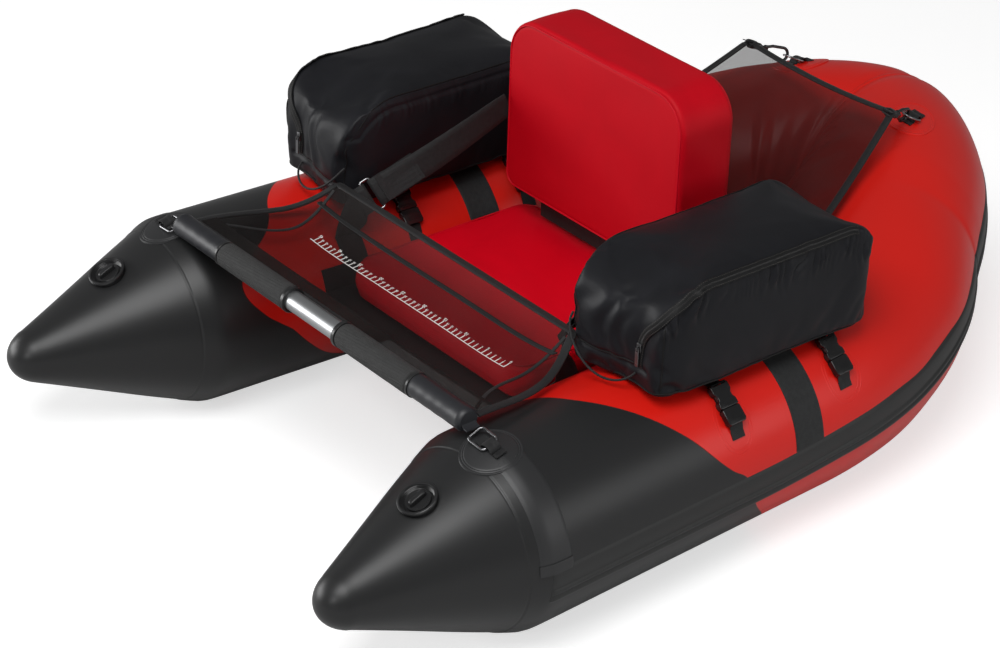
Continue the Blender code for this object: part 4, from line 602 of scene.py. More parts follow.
def on_skin(side, along, angle, u, v, h):
    """A point at u along and v over the tube from a place on it, h above the skin."""
    return skin(side, along + u, angle + v / on_line(RADII, along), h)


def welded_round(name, side, along, angle, radius, lift, grooves):
    """A round patch that follows the skin, with pressed weld rings."""
    reaches = [0.002, 0.2 * radius, 0.4 * radius, *(np.linspace(0.45, 0.975, 40) * radius),
               radius - 0.0006, radius]
    rows = []
    for turn in [math.tau * k / 96 for k in range(96)]:
        row = []
        for reach in reaches:
            height = lift - sum(0.0007 * math.exp(-((reach - g) / 0.0009) ** 2) for g in grooves)
            height = height if reach < radius - 0.0003 else 0.0001
            row.append(on_skin(side, along, angle, reach * math.cos(turn),
                               reach * math.sin(turn), height))
        rows.append(row)
    return loft(name, rows, 50, ring=True, columns=False)


def laid_band(name, side, along, angle, u_range, v_range, lift, thickness, columns=16, rows=40,
              wave=lambda u, v: 0):
    """A strap laid on the skin, thick and with softened edges."""
    us = np.linspace(*u_range, columns)
    grid = []
    for v in np.linspace(*v_range, rows):
        over = [on_skin(side, along, angle, u, v, lift + thickness + wave(u, v)) for u in us]
        for end in (0, -1):
            over[end] = on_skin(side, along, angle, us[end], v, lift + thickness * 0.45)
        grid.append(over + [on_skin(side, along, angle, u, v, lift) for u in us[::-1]])
    return loft(name, grid, 45)


def headings(points, ring=False):
    """The way the line runs at each of its points, and the point itself."""
    last = len(points) - 1
    return [(point, ((points[(i + 1) % (last + 1)] if ring else points[min(i + 1, last)])
                     - (points[i - 1] if ring or i else points[0])).normalized())
            for i, point in enumerate(points)]


def round_wire(name, points, radius, sides=16, ring=False):
    """A smooth round rod through the points."""
    rows, across = [], None
    for point, heading in headings([Vector(p) for p in points], ring):
        across = heading.orthogonal().normalized() if across is None else across
        across = square_to(across, heading)
        over = heading.cross(across)
        rows.append([point + (across * math.cos(turn) + over * math.sin(turn)) * radius
                     for turn in [math.tau * k / sides for k in range(sides)]])
    return loft(name, rows, ring=ring, caps=not ring)


def ring_points(place, length, width, bend, steps=10):
    points = []
    for index, (x, y) in enumerate(((1, 0), (1, length), (-1, length), (-1, 0))):
        cx = x * (width / 2 - bend)
        cy = y - bend if y > 0 else bend
        for k in range(steps):
            turn = math.pi / 2 * (index - 1 + k / (steps - 1))
            points.append(place @ Vector((cx + bend * math.cos(turn),
                                          cy + bend * math.sin(turn), 0)))
    return points


def folded_loop(name, place, width, half_span=0.0120, rise=0.0097, strap=0.0020, steps=28):
    """A flat strap arched over a ring's leg along the frame's X, its feet sewn flat."""
    section = []
    for inset, toe, heel in ((0, 0.0002 + strap, 0.0003 + strap), (strap, 0.0002, 0.0002)):
        line = [(half_span + 0.011, toe), (half_span + 0.004, heel)]
        line += [((half_span - inset) * math.cos(turn),
                  max((rise - inset) * math.sin(turn), 0.0002))
                 for turn in [math.pi * k / steps for k in range(steps + 1)]]
        line += [(-line[1][0], line[1][1]), (-line[0][0], line[0][1])]
        section += line if inset == 0 else line[::-1]
    rows = []
    for x in np.linspace(-width / 2, width / 2, 13):
        squeeze = 1 - 0.10 * (1 - abs(2 * x / width)) ** 2
        rows.append([place @ Vector((x, y, z * (1 if z < 0.001 else squeeze))) for y, z in section])
    return loft(name, rows, 50)


def weave_group():
    """Ribbed webbing weave: fine ridges across the strap and a coarser twill along it."""
    tree, given, out = group("Webbing weave", [("Pitch", "Float", 900.0)],
                             [("Height", "Float"), ("Shade", "Float")])
    place = object_place(tree)
    sized = put(tree, "ShaderNodeVectorMath", {0: place, "Scale": given[0]}, operation="SCALE")
    one, two = (put(tree, "ShaderNodeTexWave", {"Vector": sized.outputs[0], "Scale": scale,
                                                "Distortion": bend},
                    wave_type="BANDS", bands_direction=way).outputs["Fac"]
                for scale, bend, way in ((1.0, 0.4, "DIAGONAL"), (0.83, 0.3, "Y")))
    fill(tree, out, {"Height": maths(tree, "ADD", one, two),
                     "Shade": spread(tree, noise(tree, place, 160.0, 4.0), 0.3, 0.7, 0.8, 1.25)})
    return tree


WEAVE = weave_group()


def woven(name, colour, roughness, pitch=260.0, depth=0.00025):
    material, tree, shader = finish(name, roughness, sheen=0.05, specular=0.25)
    cover = put(tree, "ShaderNodeGroup", {"Pitch": pitch}, node_tree=WEAVE).outputs
    fill(tree, shader, {"Base Color": toned(tree, colour, cover["Shade"]),
                        "Normal": raised(tree, cover["Height"], 0.6, depth)})
    return material


PATCH_FINISH = grained("patch coating", (0.0165, 0.0168, 0.0178), 0.46, grain=700)
WEBBING_FINISH = woven("black webbing", (0.0125, 0.0125, 0.013), 0.62)
STEEL_FINISH = grained("polished steel", (0.27, 0.27, 0.28), 0.28, grain=300, tone=60, change=0.1,
                       uneven=0.15, depth=0.00002, metallic=1.0)
along = along_at(PATCH_FROM_NOSE)
strake_top = float(strake_angle(PATCH_FROM_NOSE)) + 0.027 / ARM_RADIUS
tail_end = (strake_top - PATCH_ANGLE) * ARM_RADIUS
for side, name in SIDE_NAMES.items():
    parts = [welded_round("round", side, along, PATCH_ANGLE, PATCH_RADIUS, 0.0024,
                          grooves=(0.0385, 0.0415)),
             laid_band("tail", side, along, PATCH_ANGLE, (-0.015, 0.035), (tail_end, -0.024),
                       0.0001, 0.0019, rows=60),
             laid_band("tab", side, along, PATCH_ANGLE, (-0.017, 0.037),
                       (tail_end - 0.001, tail_end + 0.016), 0.0019, 0.0012, rows=8)]
    for share in [k / 6 for k in range(7)]:
        down = (0.030 + 0.003 * math.sin(math.pi * share)) / ARM_RADIUS
        spot = skin_frame(side, along - 0.010 + 0.040 * share, PATCH_ANGLE - down, 0.002)
        parts.append(turned("dot", [(0, -0.001), (0.0011, -0.001), (0.0011, 0.0002),
                                    (0.0006, 0.0008), (0, 0.0009)], spot, sides=12))
    dress(join(name + "_bow_patch_welded", *parts), PATCH_FINISH, "weld_black")
    roll = folded_loop(name + "_bow_webbing", skin_frame(side, along, PATCH_ANGLE, 0.0026), 0.0185)
    dress(roll, WEBBING_FINISH, "webbing_black", name + "_bow_patch")
    leg = joint_axis(name + "_bow_ring_swing")
    pivot = Vector(JOINTS[name + "_bow_ring_swing"]["pos_m"])
    low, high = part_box(name + "_bow_ring")
    away = square_to((Vector(low) + Vector(high)) / 2 - pivot, leg)
    ring_place = axes(pivot, leg, away, leg.cross(away))
    ring = round_wire(name + "_bow_steel_ring", ring_points(ring_place, 0.034, 0.028, 0.006),
                      0.0018, ring=True)
    dress(ring, STEEL_FINISH, "steel", name + "_bow_ring", body=name + "_bow_link")

# The cross bar: an anodised tube between the arms with a ribbed foam grip each side of
# its bare middle, black collars, and fabric end sleeves strapped to the bow rings.
BAR_TUBE, BAR_HALF, GRIP_OUTSIDE = 0.0155, 0.353, 0.0190
bar_low, bar_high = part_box("spreader_bar")
BAR_MIDDLE = (Vector(bar_low) + Vector(bar_high)) / 2


def bar_place(side):
    return axes(BAR_MIDDLE, (0, 0, -side), (0, 1, 0), (side, 0, 0))


def collar(side, x, length, outside):
    return turned("collar", [(BAR_TUBE + 0.0001, x), (outside - 0.0008, x), (outside, x + 0.0008),
                             (outside, x + length - 0.0008), (outside - 0.0008, x + length),
                             (BAR_TUBE + 0.0001, x + length)], bar_place(side), ring=True)


def grip_ribs(turn, x):
    if not 0.069 < x < 0.233:
        return 0
    return 0.00075 * abs(math.sin(turn * 14 + x * 55)) + 0.00022 * math.sin(x * 1650)


def sleeve_rucks(turn, x):
    if not 0.243 < x < 0.351:
        return 0
    return 0.00018 * math.sin(x * 240 + 2.0 * math.sin(turn + x * 30)) \
        * math.sin(turn * 2 + x * 20) + 0.0012 * float(ease(x, 0.330, 0.358))


GRIP_FINISH = woven("grip cover", (0.026, 0.026, 0.026), 0.62, pitch=430.0, depth=0.0007)
ALUMINIUM_FINISH = grained("satin aluminium", (0.46, 0.47, 0.48), 0.38, grain=1200, tone=14,
                           change=0.06, depth=0.00002, metallic=1.0)
SLEEVE_FINISH = grained("sleeve fabric", (0.0115, 0.0120, 0.0150), 0.46, grain=1400, tone=18,
                        change=0.3, depth=0.00012)
tube = turned("cross_bar_tube", [(0, -BAR_HALF), (BAR_TUBE - 0.0008, -BAR_HALF),
                                 (BAR_TUBE, 0.001 - BAR_HALF), (BAR_TUBE, BAR_HALF - 0.001),
                                 (BAR_TUBE - 0.0008, BAR_HALF), (0, BAR_HALF)], bar_place(1))
dress(tube, ALUMINIUM_FINISH, "aluminium", "spreader_bar")
for side, name in SIDE_NAMES.items():
    stops = [(BAR_TUBE + 0.0002, 0.0665), (GRIP_OUTSIDE - 0.0018, 0.0665),
             (GRIP_OUTSIDE - 0.0004, 0.0680),
             *((GRIP_OUTSIDE, x) for x in np.linspace(0.070, 0.232, 82)),
             (GRIP_OUTSIDE - 0.0004, 0.2335), (GRIP_OUTSIDE - 0.0018, 0.2350),
             (BAR_TUBE + 0.0002, 0.2350)]
    grip = turned(name + "_foam_grip", stops, bar_place(side), sides=168, ring=True,
                  wobble=grip_ribs)
    grip.data.set_sharp_from_angle(angle=math.radians(70))
    dress(grip, GRIP_FINISH, "foam_grey", name + "_bar_grip")
    dress(join(name + "_grip_collars", collar(side, 0.0600, 0.0070, 0.0205),
               collar(side, 0.2353, 0.0050, 0.0197)), VALVE_FINISH, "plastic_black")
    stops = [(BAR_TUBE + 0.0001, 0.2405), (0.0176, 0.2405), (0.0184, 0.2412),
             *((0.0180, x) for x in np.linspace(0.243, 0.350, 56)),
             (0.0172, 0.3555), (0.0150, 0.3575), (0, 0.358)]
    sleeve = turned("sleeve", stops, bar_place(side), sides=72, wobble=sleeve_rucks)
    ring_low, ring_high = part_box(name + "_bow_ring")
    reach, level = abs((ring_low if side > 0 else ring_high)[0]), ring_high[2]
    rows = [[(side * x, BAR_MIDDLE.y + y, z + h) for y, h in
             ((-0.0125, 0), (-0.0120, 0.0011), (0.0120, 0.0011), (0.0125, 0), (0.0120, -0.0011),
              (-0.0120, -0.0011))]
            for x, z in ((0.350, level + 0.006), (0.358, level + 0.0022),
                         (reach - 0.006, level - 0.0010), (reach - 0.0006, level - 0.0018))]
    dress(join(name + "_end_sleeve", sleeve, loft("tongue", rows, 50)), SLEEVE_FINISH,
          "webbing_black", name + "_bar_sleeve")

# The stripping apron: open knitted mesh bound with black tape on three sides, sewn to
# the bar's sleeve in front, with a hem below it and a printed fish ruler.
UP = Vector((0, 0, 1))
APRON_FRONT, APRON_REAR, APRON_REACH = -0.50205, -0.27935, 0.232
FRONT_HALF, REAR_HALF = 0.345, 0.283
DIP_TO = 0.62  # share of the reach where the sag ends and the rise to the seat begins


def tube_top(x, y, clearance):
    """Height just above the tubes over a place in plan, or a low number beside them."""
    away = np.hypot(CENTRES[:, 0] - abs(x), CENTRES[:, 1] - y)
    i = int(away.argmin())
    reach = RADII[i] + clearance
    return CENTRES[i, 2] + math.sqrt(reach ** 2 - away[i] ** 2) if away[i] < reach else -1.0


def apron_half(share):
    return FRONT_HALF + (REAR_HALF - FRONT_HALF) * share


def apron_point(across, share):
    x = across * (apron_half(share) + 0.016 * math.sin(math.pi * share))
    y = APRON_FRONT + (APRON_REAR - APRON_FRONT) * share
    depth = 0.029 - 0.018 * across ** 6
    if share < DIP_TO:
        height = BAR_MIDDLE.z - depth * float(ease(share, 0, DIP_TO))
    else:
        height = BAR_MIDDLE.z - depth + (depth + 0.024) * ((share - DIP_TO) / (1 - DIP_TO)) ** 2
    slack = (1 - across ** 2) * math.sin(math.pi * min(share, 1))
    height += slack * (0.0016 * math.sin(across * 6 + share * 7)
                       + 0.0008 * math.sin(across * 4 + share * 24))
    return Vector((x, y, max(height, tube_top(x, y, 0.0022))))


def sheet_between(name, point, columns, rows, thickness):
    """A thin closed sheet over a surface given by two shares."""
    half = UP * (thickness / 2)
    grid = []
    for i in range(rows + 1):
        line = [point(2 * j / columns - 1, i / rows) for j in range(columns + 1)]
        grid.append([p + half for p in line] + [p - half for p in line[::-1]])
    return loft(name, grid)


def tape_along(name, points, facings, width, thickness, shift=0.0, ring=False):
    """A flat tape through points, facing given ways, with soft edges; shift moves it sideways."""
    section = ((-0.5, 0), (-0.46, 0.5), (-0.25, 0.75), (0, 0.825), (0.25, 0.75), (0.46, 0.5),
               (0.5, 0), (0.46, -0.5), (0, -0.5), (-0.46, -0.5))
    rows = []
    for (point, heading), facing in zip(headings(points, ring), facings):
        up = square_to(facing, heading)
        across = heading.cross(up)
        rows.append([point + across * (u * width + shift) + up * (v * thickness)
                     for u, v in section])
    return loft(name, rows, ring=ring, caps=not ring)


def repeat_nodes():
    """Geometry Nodes that set one small solid after another along a line of points."""
    tree = bpy.data.node_groups.new("Row of small solids", "GeometryNodeTree")
    for label, kind in (("Geometry", "Geometry"), ("Spacing", "Float"), ("Size", "Vector"),
                        ("Material", "Material")):
        tree.interface.new_socket(label, in_out="INPUT", socket_type="NodeSocket" + kind)
    tree.interface.new_socket("Geometry", in_out="OUTPUT", socket_type="NodeSocketGeometry")
    given = tree.nodes.new("NodeGroupInput").outputs
    out = tree.nodes.new("NodeGroupOutput")

    def step(kind, sockets=None, **settings):
        return put(tree, kind, sockets, **settings).outputs[0]

    line = step("GeometryNodeMeshToCurve", {0: given["Geometry"]})
    even = step("GeometryNodeResampleCurve", {"Curve": line, "Length": given["Spacing"]},
                mode="LENGTH")
    facing = step("GeometryNodeInputNamedAttribute", {"Name": "facing"}, data_type="FLOAT_VECTOR")
    along = step("FunctionNodeAlignRotationToVector", {"Vector": step("GeometryNodeInputTangent")},
                 axis="X")
    upright = step("FunctionNodeAlignRotationToVector", {"Rotation": along, "Vector": facing},
                   axis="Z", pivot_axis="X")
    bead = step("GeometryNodeMeshIcoSphere", {"Radius": 0.5, "Subdivisions": 2})
    many = step("GeometryNodeInstanceOnPoints", {"Points": even, "Instance": bead,
                                                 "Rotation": upright, "Scale": given["Size"]})
    real = step("GeometryNodeRealizeInstances", {0: many})
    fill(tree, out, {0: step("GeometryNodeSetMaterial", {"Geometry": real,
                                                         "Material": given["Material"]})})
    return tree


REPEAT = repeat_nodes()


def row_of(name, points, facings, spacing, size, material, ring=False):
    """Stitches or teeth along points; size runs along, across and out."""
    count = len(points)
    mesh = bpy.data.meshes.new(name)
    links = [(i, (i + 1) % count) for i in range(count if ring else count - 1)]
    mesh.from_pydata(points, links, [])
    mesh.attributes.new("facing", "FLOAT_VECTOR", "POINT").data.foreach_set(
        "vector", np.asarray(facings, np.float32).ravel())
    piece = show(name, mesh)
    row = piece.modifiers.new("row", "NODES")
    row.node_group = REPEAT
    values = {"Spacing": spacing, "Size": size, "Material": material}
    for item in REPEAT.interface.items_tree:
        if item.in_out == "INPUT" and item.name in values:
            row[item.identifier] = values[item.name]
    baked(piece)
    piece.data.materials.clear()
    piece.data.materials.append(material)
    piece.data.shade_smooth()
    return piece


def stitch(name, line, lift, ring=False):
    """A row of stitches just above a line on a level sheet."""
    stitches = row_of(name, [p + UP * lift for p in line], [UP] * len(line), 0.0042,
                      (0.0030, 0.0007, 0.0006), THREAD_FINISH, ring)
    return dress(stitches, None, "webbing_black")


def mesh_finish(name, colour, cover):
    """Open knitted mesh: threads round small holes, through which what lies below shows."""
    material, tree, shader = finish(name, 0.62, specular=0.2)
    place = object_place(tree)
    sized = put(tree, "ShaderNodeVectorMath", {0: place, "Scale": 1500.0}, operation="SCALE")
    cells = put(tree, "ShaderNodeTexVoronoi", {"Vector": sized.outputs[0], "Scale": 1.0,
                                               "Randomness": 0.35}).outputs["Distance"]
    shade = spread(tree, noise(tree, place, 11.0, 3.0), 0.35, 0.7, 0.7, 1.3)
    fill(tree, shader, {"Base Color": toned(tree, colour, shade),
                        "Alpha": spread(tree, cells, 0.30, 0.60, cover, cover + 0.22)})
    return material


APRON_FINISH = mesh_finish("apron mesh", (0.0120, 0.0085, 0.0080), 0.20)
# A denser copy of the apron mesh, laid over the apron's front as painted shade.
FRONT_SHADE_MESH_FINISH = mesh_finish("apron mesh with painted shade", (0.0120, 0.0095, 0.0090), 0.64)
BINDING_FINISH = woven("binding tape", (0.011, 0.011, 0.0115), 0.60, pitch=420.0, depth=0.00015)
THREAD_FINISH = grained("black thread", (0.028, 0.028, 0.03), 0.60, grain=2500, depth=0.00002)
apron = sheet_between("apron_knitted_mesh", apron_point, 90, 44, 0.0010)
dress(apron, APRON_FINISH, "mesh_black", "apron_mesh")


def edge_line(point, first, last, steps, across=None, share=None):
    """Points of a sheet with one of its two shares held and the other running."""
    runs = [first + (last - first) * k / steps for k in range(steps + 1)]
    return [point(run, share) if across is None else point(across, run) for run in runs]


def level_tape(name, line, width, thickness, **settings):
    return tape_along(name, line, [UP] * len(line), width, thickness, **settings)


route = edge_line(apron_point, 0.0, 1.0, 46, across=-1) \
    + edge_line(apron_point, -1.0, 1.0, 90, share=1.0)[1:] \
    + edge_line(apron_point, 1.0, 0.0, 46, across=1)[1:]
hem = edge_line(apron_point, -0.97, 0.97, 90, share=0.865)
tapes = [level_tape("tape", route, 0.013, 0.0032, shift=-0.0052),
         level_tape("hem", [p + UP * 0.0003 for p in hem], 0.010, 0.0016)]
# A second, denser layer of mesh over the apron's front darkens the floor seen through it: painted
# shade of the floor beneath.
front_shade_layer = sheet_between("apron_front_shade_layer", lambda across, share:
                        apron_point(across * 0.998, 0.16 * share) + UP * 0.0022, 90, 8, 0.0008)
dress(front_shade_layer, FRONT_SHADE_MESH_FINISH, "mesh_black")
tapes.append(level_tape("welt", edge_line(apron_point, -1.0, 1.0, 90, share=0.012), 0.011, 0.0040))
for sign in (-1, 1):
    gore = [apron_point(sign * (0.985 - 0.13 * math.sin(math.pi * t)), 0.03 + 0.94 * t)
            + UP * 0.0004 for t in np.linspace(0, 1, 40)]
    tapes.append(level_tape("gore", gore, 0.006, 0.0014))
binding = dress(join("apron_binding_tape", *tapes), BINDING_FINISH, "webbing_black",
                "apron_binding")
seams = [stitch("apron_binding_stitches", route, 0.0024), stitch("apron_hem_stitches", hem, 0.0014)]

RULER_FINISH = grained("ruler print", (0.72, 0.72, 0.70), 0.6, change=0.2, depth=0.00003)
RULER_HALF, RULER_Y, RULER_STEP, INK = 0.229, 0.455, 0.010, 0.0005


def ruler_spot(x, across):
    """A point on the ruler's line, which wanders a little on the slack mesh."""
    y = RULER_Y - MIDDLE_Y + across + 0.0018 * math.sin(x * 19 + 1)
    share = (y - APRON_FRONT) / (APRON_REAR - APRON_FRONT)
    return apron_point(x / apron_half(share), share) + UP * 0.0011


base = [ruler_spot(x, -0.0075) for x in np.linspace(-RULER_HALF, RULER_HALF, 120)]
marks, numbers = [level_tape("line", base, 0.0013, INK)], []
for k in range(46):
    x, fifth = RULER_HALF - 0.0010 - k * RULER_STEP, k % 5 == 0
    length = 0.0110 if fifth else 0.0085
    line = [ruler_spot(x, -0.0072 + length * t) for t in np.linspace(0, 1, 4)]
    marks.append(level_tape("tick", line, 0.0016, INK))
    glyph = bpy.data.curves.new("number", "FONT")
    glyph.body, glyph.size, glyph.extrude = str(k), 0.0072 if fifth else 0.0050, 0.00022
    glyph.align_x = glyph.align_y = "CENTER"
    number = show("number", glyph)
    flat = bpy.data.meshes.new_from_object(
        number.evaluated_get(bpy.context.evaluated_depsgraph_get()))
    bpy.data.objects.remove(number)
    for vertex in flat.vertices:
        spot = ruler_spot(x - vertex.co.x, (0.0072 if fifth else 0.0038) - vertex.co.y)
        vertex.co = spot + UP * vertex.co.z
    numbers.append(show("number", flat))
dress(join("apron_ruler_print", *marks, *numbers), RULER_FINISH, "ruler_white", "apron_ruler")

# The seat sling: coated nylon stretched between the tubes, its sides welded to them,
# with the lower ends of the backrest straps sewn on.
SEAT_FRONT, SEAT_REAR, SEAT_TOP, SEAT_THICK, SLING_DEPTH = -0.30935, 0.05265, 0.252, 0.058, 0.402


def sling_row(y):
    level = SEAT_TOP - SEAT_THICK - 0.0033
    s = along_at(y + MIDDLE_Y)
    leave = math.pi - math.asin((level - on_line(CENTRES[:, 2], s)) / on_line(RADII, s))
    starboard, port = ([Vector(skin(side, s, angle, 0.0012))
                        for angle in np.linspace(math.radians(150), leave, 12)]
                       for side in (-1, 1))
    middle = [starboard[-1].lerp(port[-1], float(t)) - UP * (0.006 * 4 * t * (1 - t))
              for t in np.linspace(0, 1, 42)[1:-1]]
    return starboard + middle + port[::-1]


def thick_sheet(name, grid, thickness):
    """Give a grid of points a thickness along its normals."""
    piece = from_grid(name, grid)
    solid = piece.modifiers.new("thick", "SOLIDIFY")
    solid.thickness, solid.offset = thickness, 0
    return sealed(baked(piece))


SLING_FINISH = woven("sling cloth", (0.014, 0.014, 0.015), 0.55, pitch=500, depth=0.0001)
rows = [sling_row(y) for y in np.linspace(SEAT_FRONT - 0.020, SEAT_REAR + 0.020, 54)]
sling = thick_sheet("seat_sling_cloth", rows, 0.0020)
dress(sling, SLING_FINISH, "webbing_black", "seat_sling")


def length_of(line):
    return sum((b - a).length for a, b in zip(line, line[1:]))


length_of(rows[27])

# The seat cushion and the backrest: foam blocks in sewn covers of satin polyester with
# corded seams round both faces, and the webbing flap they fold on.
BACK_FRONT, BACK_THICK = -0.00935, 0.112


def corner_outline(half_x, half_y, corners, inset, sides=200):
    """Evenly spaced points of a rectangle whose four corners have their own radii."""
    dense = []
    for index, (sx, sy) in enumerate(((1, 1), (-1, 1), (-1, -1), (1, -1))):
        radius = max(corners[index] - inset, corners[index] * 0.35)
        for turn in [math.pi / 2 * (index + k / 24) for k in range(25)]:
            dense.append((sx * (half_x - inset - radius) + radius * math.cos(turn),
                          sy * (half_y - inset - radius) + radius * math.sin(turn)))
    dense = np.array(dense + dense[:1])
    reach = np.r_[0, np.cumsum(np.hypot(*np.diff(dense, axis=0).T))]
    even = np.linspace(0, reach[-1], sides + 1)[:-1]
    return np.stack([np.interp(even, reach, dense[:, k]) for k in (0, 1)], 1)


def stuffed(name, half_x, half_y, corners, thickness, edge, crowns, place, swell, seam):
    """A stuffed block: side wall swelling out, a drawn-in seam at each rim, crowned faces."""
    half = thickness / 2

    def outline(inset):
        return corner_outline(half_x, half_y, corners, inset)

    def face(way, crown):
        return [(outline(edge) * t, way * half + crown * (1 - t ** 2.4))
                for t in np.linspace(0.02, 0.985, 34)]

    def rim(way):
        drawn = [(math.pi / 12 * k, seam * math.exp(-((k - 0.7) / 0.6) ** 2)) for k in range(7)]
        return [(outline(edge * (1 - math.sin(turn)) + dip),
                 way * (half - edge * (1 - math.cos(turn)))) for turn, dip in drawn]

    wall = [(outline(-swell * 4 * t * (1 - t)), -half + edge + (thickness - 2 * edge) * t)
            for t in np.linspace(0, 1, 26)[1:-1]]
    rows = face(-1, -crowns[0]) + rim(-1) + wall + rim(1)[::-1] + face(1, crowns[1])[::-1]
    return loft(name, [[place @ Vector((x, y, z)) for x, y in line] for line, z in rows], 80)


def rumple(piece, field):
    """Move every point along its normal by a field of its place and normal."""
    places, normals = np.empty((2, len(piece.data.vertices), 3))
    piece.data.vertices.foreach_get("co", places.reshape(-1))
    piece.data.vertices.foreach_get("normal", normals.reshape(-1))
    places += normals * field(places, normals)[:, None]
    piece.data.vertices.foreach_set("co", places.reshape(-1))
    piece.data.update()
    return piece


def blown(piece, pressure, slack, cap, bending, fixed, loose):
    """Fill a closed cover with air in a short cloth run and keep its folds within a cap."""
    before, after = np.empty((2, len(piece.data.vertices), 3))
    piece.data.vertices.foreach_get("co", before.reshape(-1))
    held = piece.vertex_groups.new(name="held")
    for index in np.nonzero(fixed(before))[0]:
        held.add([int(index)], 1.0, "REPLACE")
    cloth = piece.modifiers.new("cloth", "CLOTH")
    settings = cloth.settings
    settings.quality, settings.mass, settings.time_scale = 6, 0.25, 1.0
    settings.tension_stiffness = settings.compression_stiffness = 18
    settings.shear_stiffness, settings.bending_stiffness = 8, bending
    settings.use_pressure, settings.uniform_pressure_force = True, pressure
    settings.shrink_min = settings.shrink_max = -slack
    settings.effector_weights.gravity = 0
    settings.vertex_group_mass = "held"
    cloth.collision_settings.use_collision = False
    cloth.point_cache.frame_start, cloth.point_cache.frame_end = 1, 20
    for number in range(1, 21):
        bpy.context.scene.frame_set(number)
    baked(piece)
    bpy.context.scene.frame_set(1)
    piece.data.vertices.foreach_get("co", after.reshape(-1))
    move = after - before
    size = np.linalg.norm(move, axis=1)[:, None] + 1e-9
    after = before + loose(before) * move / size * cap * np.tanh(size / cap)
    piece.data.vertices.foreach_set("co", after.reshape(-1))
    piece.data.update()
    piece.vertex_groups.clear()


def satin(name, colour, roughness, change=0.04, wrinkle=0.0007, sheen=0.12):
    """Fine satin cloth with faint drag lines and a soft sheen."""
    material, tree, shader = finish(name, roughness, sheen=sheen, specular=0.14)
    place = object_place(tree)
    drag = noise(tree, place, 9.0, 4.0, Distortion=1.2)
    shade = spread(tree, drag, 0.3, 0.7, 1 - change, 1 + change)
    soft = raised(tree, drag, 0.35, wrinkle)
    fill(tree, shader, {
        "Sheen Tint": (*[min(1, c * 2) for c in colour], 1), "Sheen Roughness": 0.35,
        "Base Color": toned(tree, colour, shade),
        "Normal": raised(tree, noise(tree, place, 1500.0, 2.0), 0.35, 0.00012, Normal=soft)})
    return material


# The seat and the backrest are one satin: the seat's copy is lighter, painted light on its top, and
# the backrest's copy darker, painted shade on its face.
SEAT_LIT_SATIN = satin("seat satin with painted light", (0.62, 0.0002, 0.010), 0.56, sheen=0.03)
BACK_SHADED_SATIN = satin("backrest satin with painted shade", (0.465, 0.0001, 0.007), 0.56, sheen=0.02)
PIPING_FINISH = satin("seat piping", (0.50, 0.0016, 0.011), 0.5, wrinkle=0.0002)
tube_side = math.pi - math.asin((0.1907 - 0.149) / ARM_RADIUS)
seat_half = min(abs(skin(1, along_at(y + MIDDLE_Y), tube_side)[0])
                for y in (SEAT_FRONT, SEAT_REAR)) - 0.009
SEAT_MIDDLE = (0, (SEAT_FRONT + SEAT_REAR) / 2, SEAT_TOP - SEAT_THICK / 2)
SEAT_PLACE = axes(SEAT_MIDDLE, (1, 0, 0), (0, 1, 0), (0, 0, 1))
BACK_PLACE = axes((0, BACK_FRONT + BACK_THICK / 2, 0.45), (1, 0, 0), (0, 0, 1), (0, -1, 0))
SEAT_CORNERS, BACK_CORNERS = [0.035] * 4, [0.062, 0.062, 0.025, 0.025]


def seat_folds(p, n):
    top = ease(n[:, 2], 0.3, 0.9)
    return top * (0.0014 * np.sin(p[:, 0] * 26 + 2 * np.sin(p[:, 1] * 13))
                  * np.sin(p[:, 1] * 17 + 1)
                  + 0.0007 * np.sin(p[:, 0] * 61 + p[:, 1] * 47)) - 0.0012 * top


def back_folds(p, n):
    face = ease(-n[:, 1], 0.4, 0.95)
    side = ease(np.abs(n[:, 0]) + np.abs(n[:, 2]), 0.6, 1.0)
    return (face * 0.0010 * np.sin(p[:, 0] * 19 + 1.5 * np.sin(p[:, 2] * 15))
            * np.sin(p[:, 2] * 23)
            + side * 0.0009 * np.sin(p[:, 1] * 60 + 3 * np.sin(p[:, 2] * 20 + p[:, 0] * 12))
            - 0.0010 * (face + side))


seat = stuffed("seat_cushion_cover", seat_half, 0.181, SEAT_CORNERS, SEAT_THICK, 0.012,
               (-0.0015, 0.009), SEAT_PLACE, swell=0.004, seam=0.0016)
dress(rumple(seat, seat_folds), SEAT_LIT_SATIN, "seat_red", "seat_cushion")
back = stuffed("backrest_cover", 0.204, 0.15, BACK_CORNERS, BACK_THICK - 0.006, 0.011,
               (0.003, 0.003), BACK_PLACE, swell=0.0, seam=0.0009)
dress(rumple(back, back_folds), BACK_SHADED_SATIN, "seat_red", "backrest_cushion", body="backrest")
for name, half_x, half_y, corners, inset, place, levels, body in (
        ("seat", seat_half, 0.181, SEAT_CORNERS, 0.0066, SEAT_PLACE, (0.0275,), "hull"),
        ("backrest", 0.204, 0.15, BACK_CORNERS, 0.00605, BACK_PLACE, (0.0515, -0.0515),
         "backrest")):
    outline = corner_outline(half_x, half_y, corners, inset)
    cords = [round_wire("cord", [place @ Vector((x, y, level)) for x, y in outline], 0.0014, 10,
                        ring=True) for level in levels]
    dress(join(name + "_piping", *cords), PIPING_FINISH, "seat_red", body=body)

FLAP_Y, FLAP_LOW, FLAP_HIGH, FLAP_HALF = 0.02265, 0.2600, 0.3035, 0.142


def blended(piece, stands_for, from_place):
    """Webbing given its material, with the solid it stands for hidden and its place baked into its
    points.
    """
    piece.data.materials.append(WEBBING_FINISH)
    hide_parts(stands_for)
    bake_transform(piece)


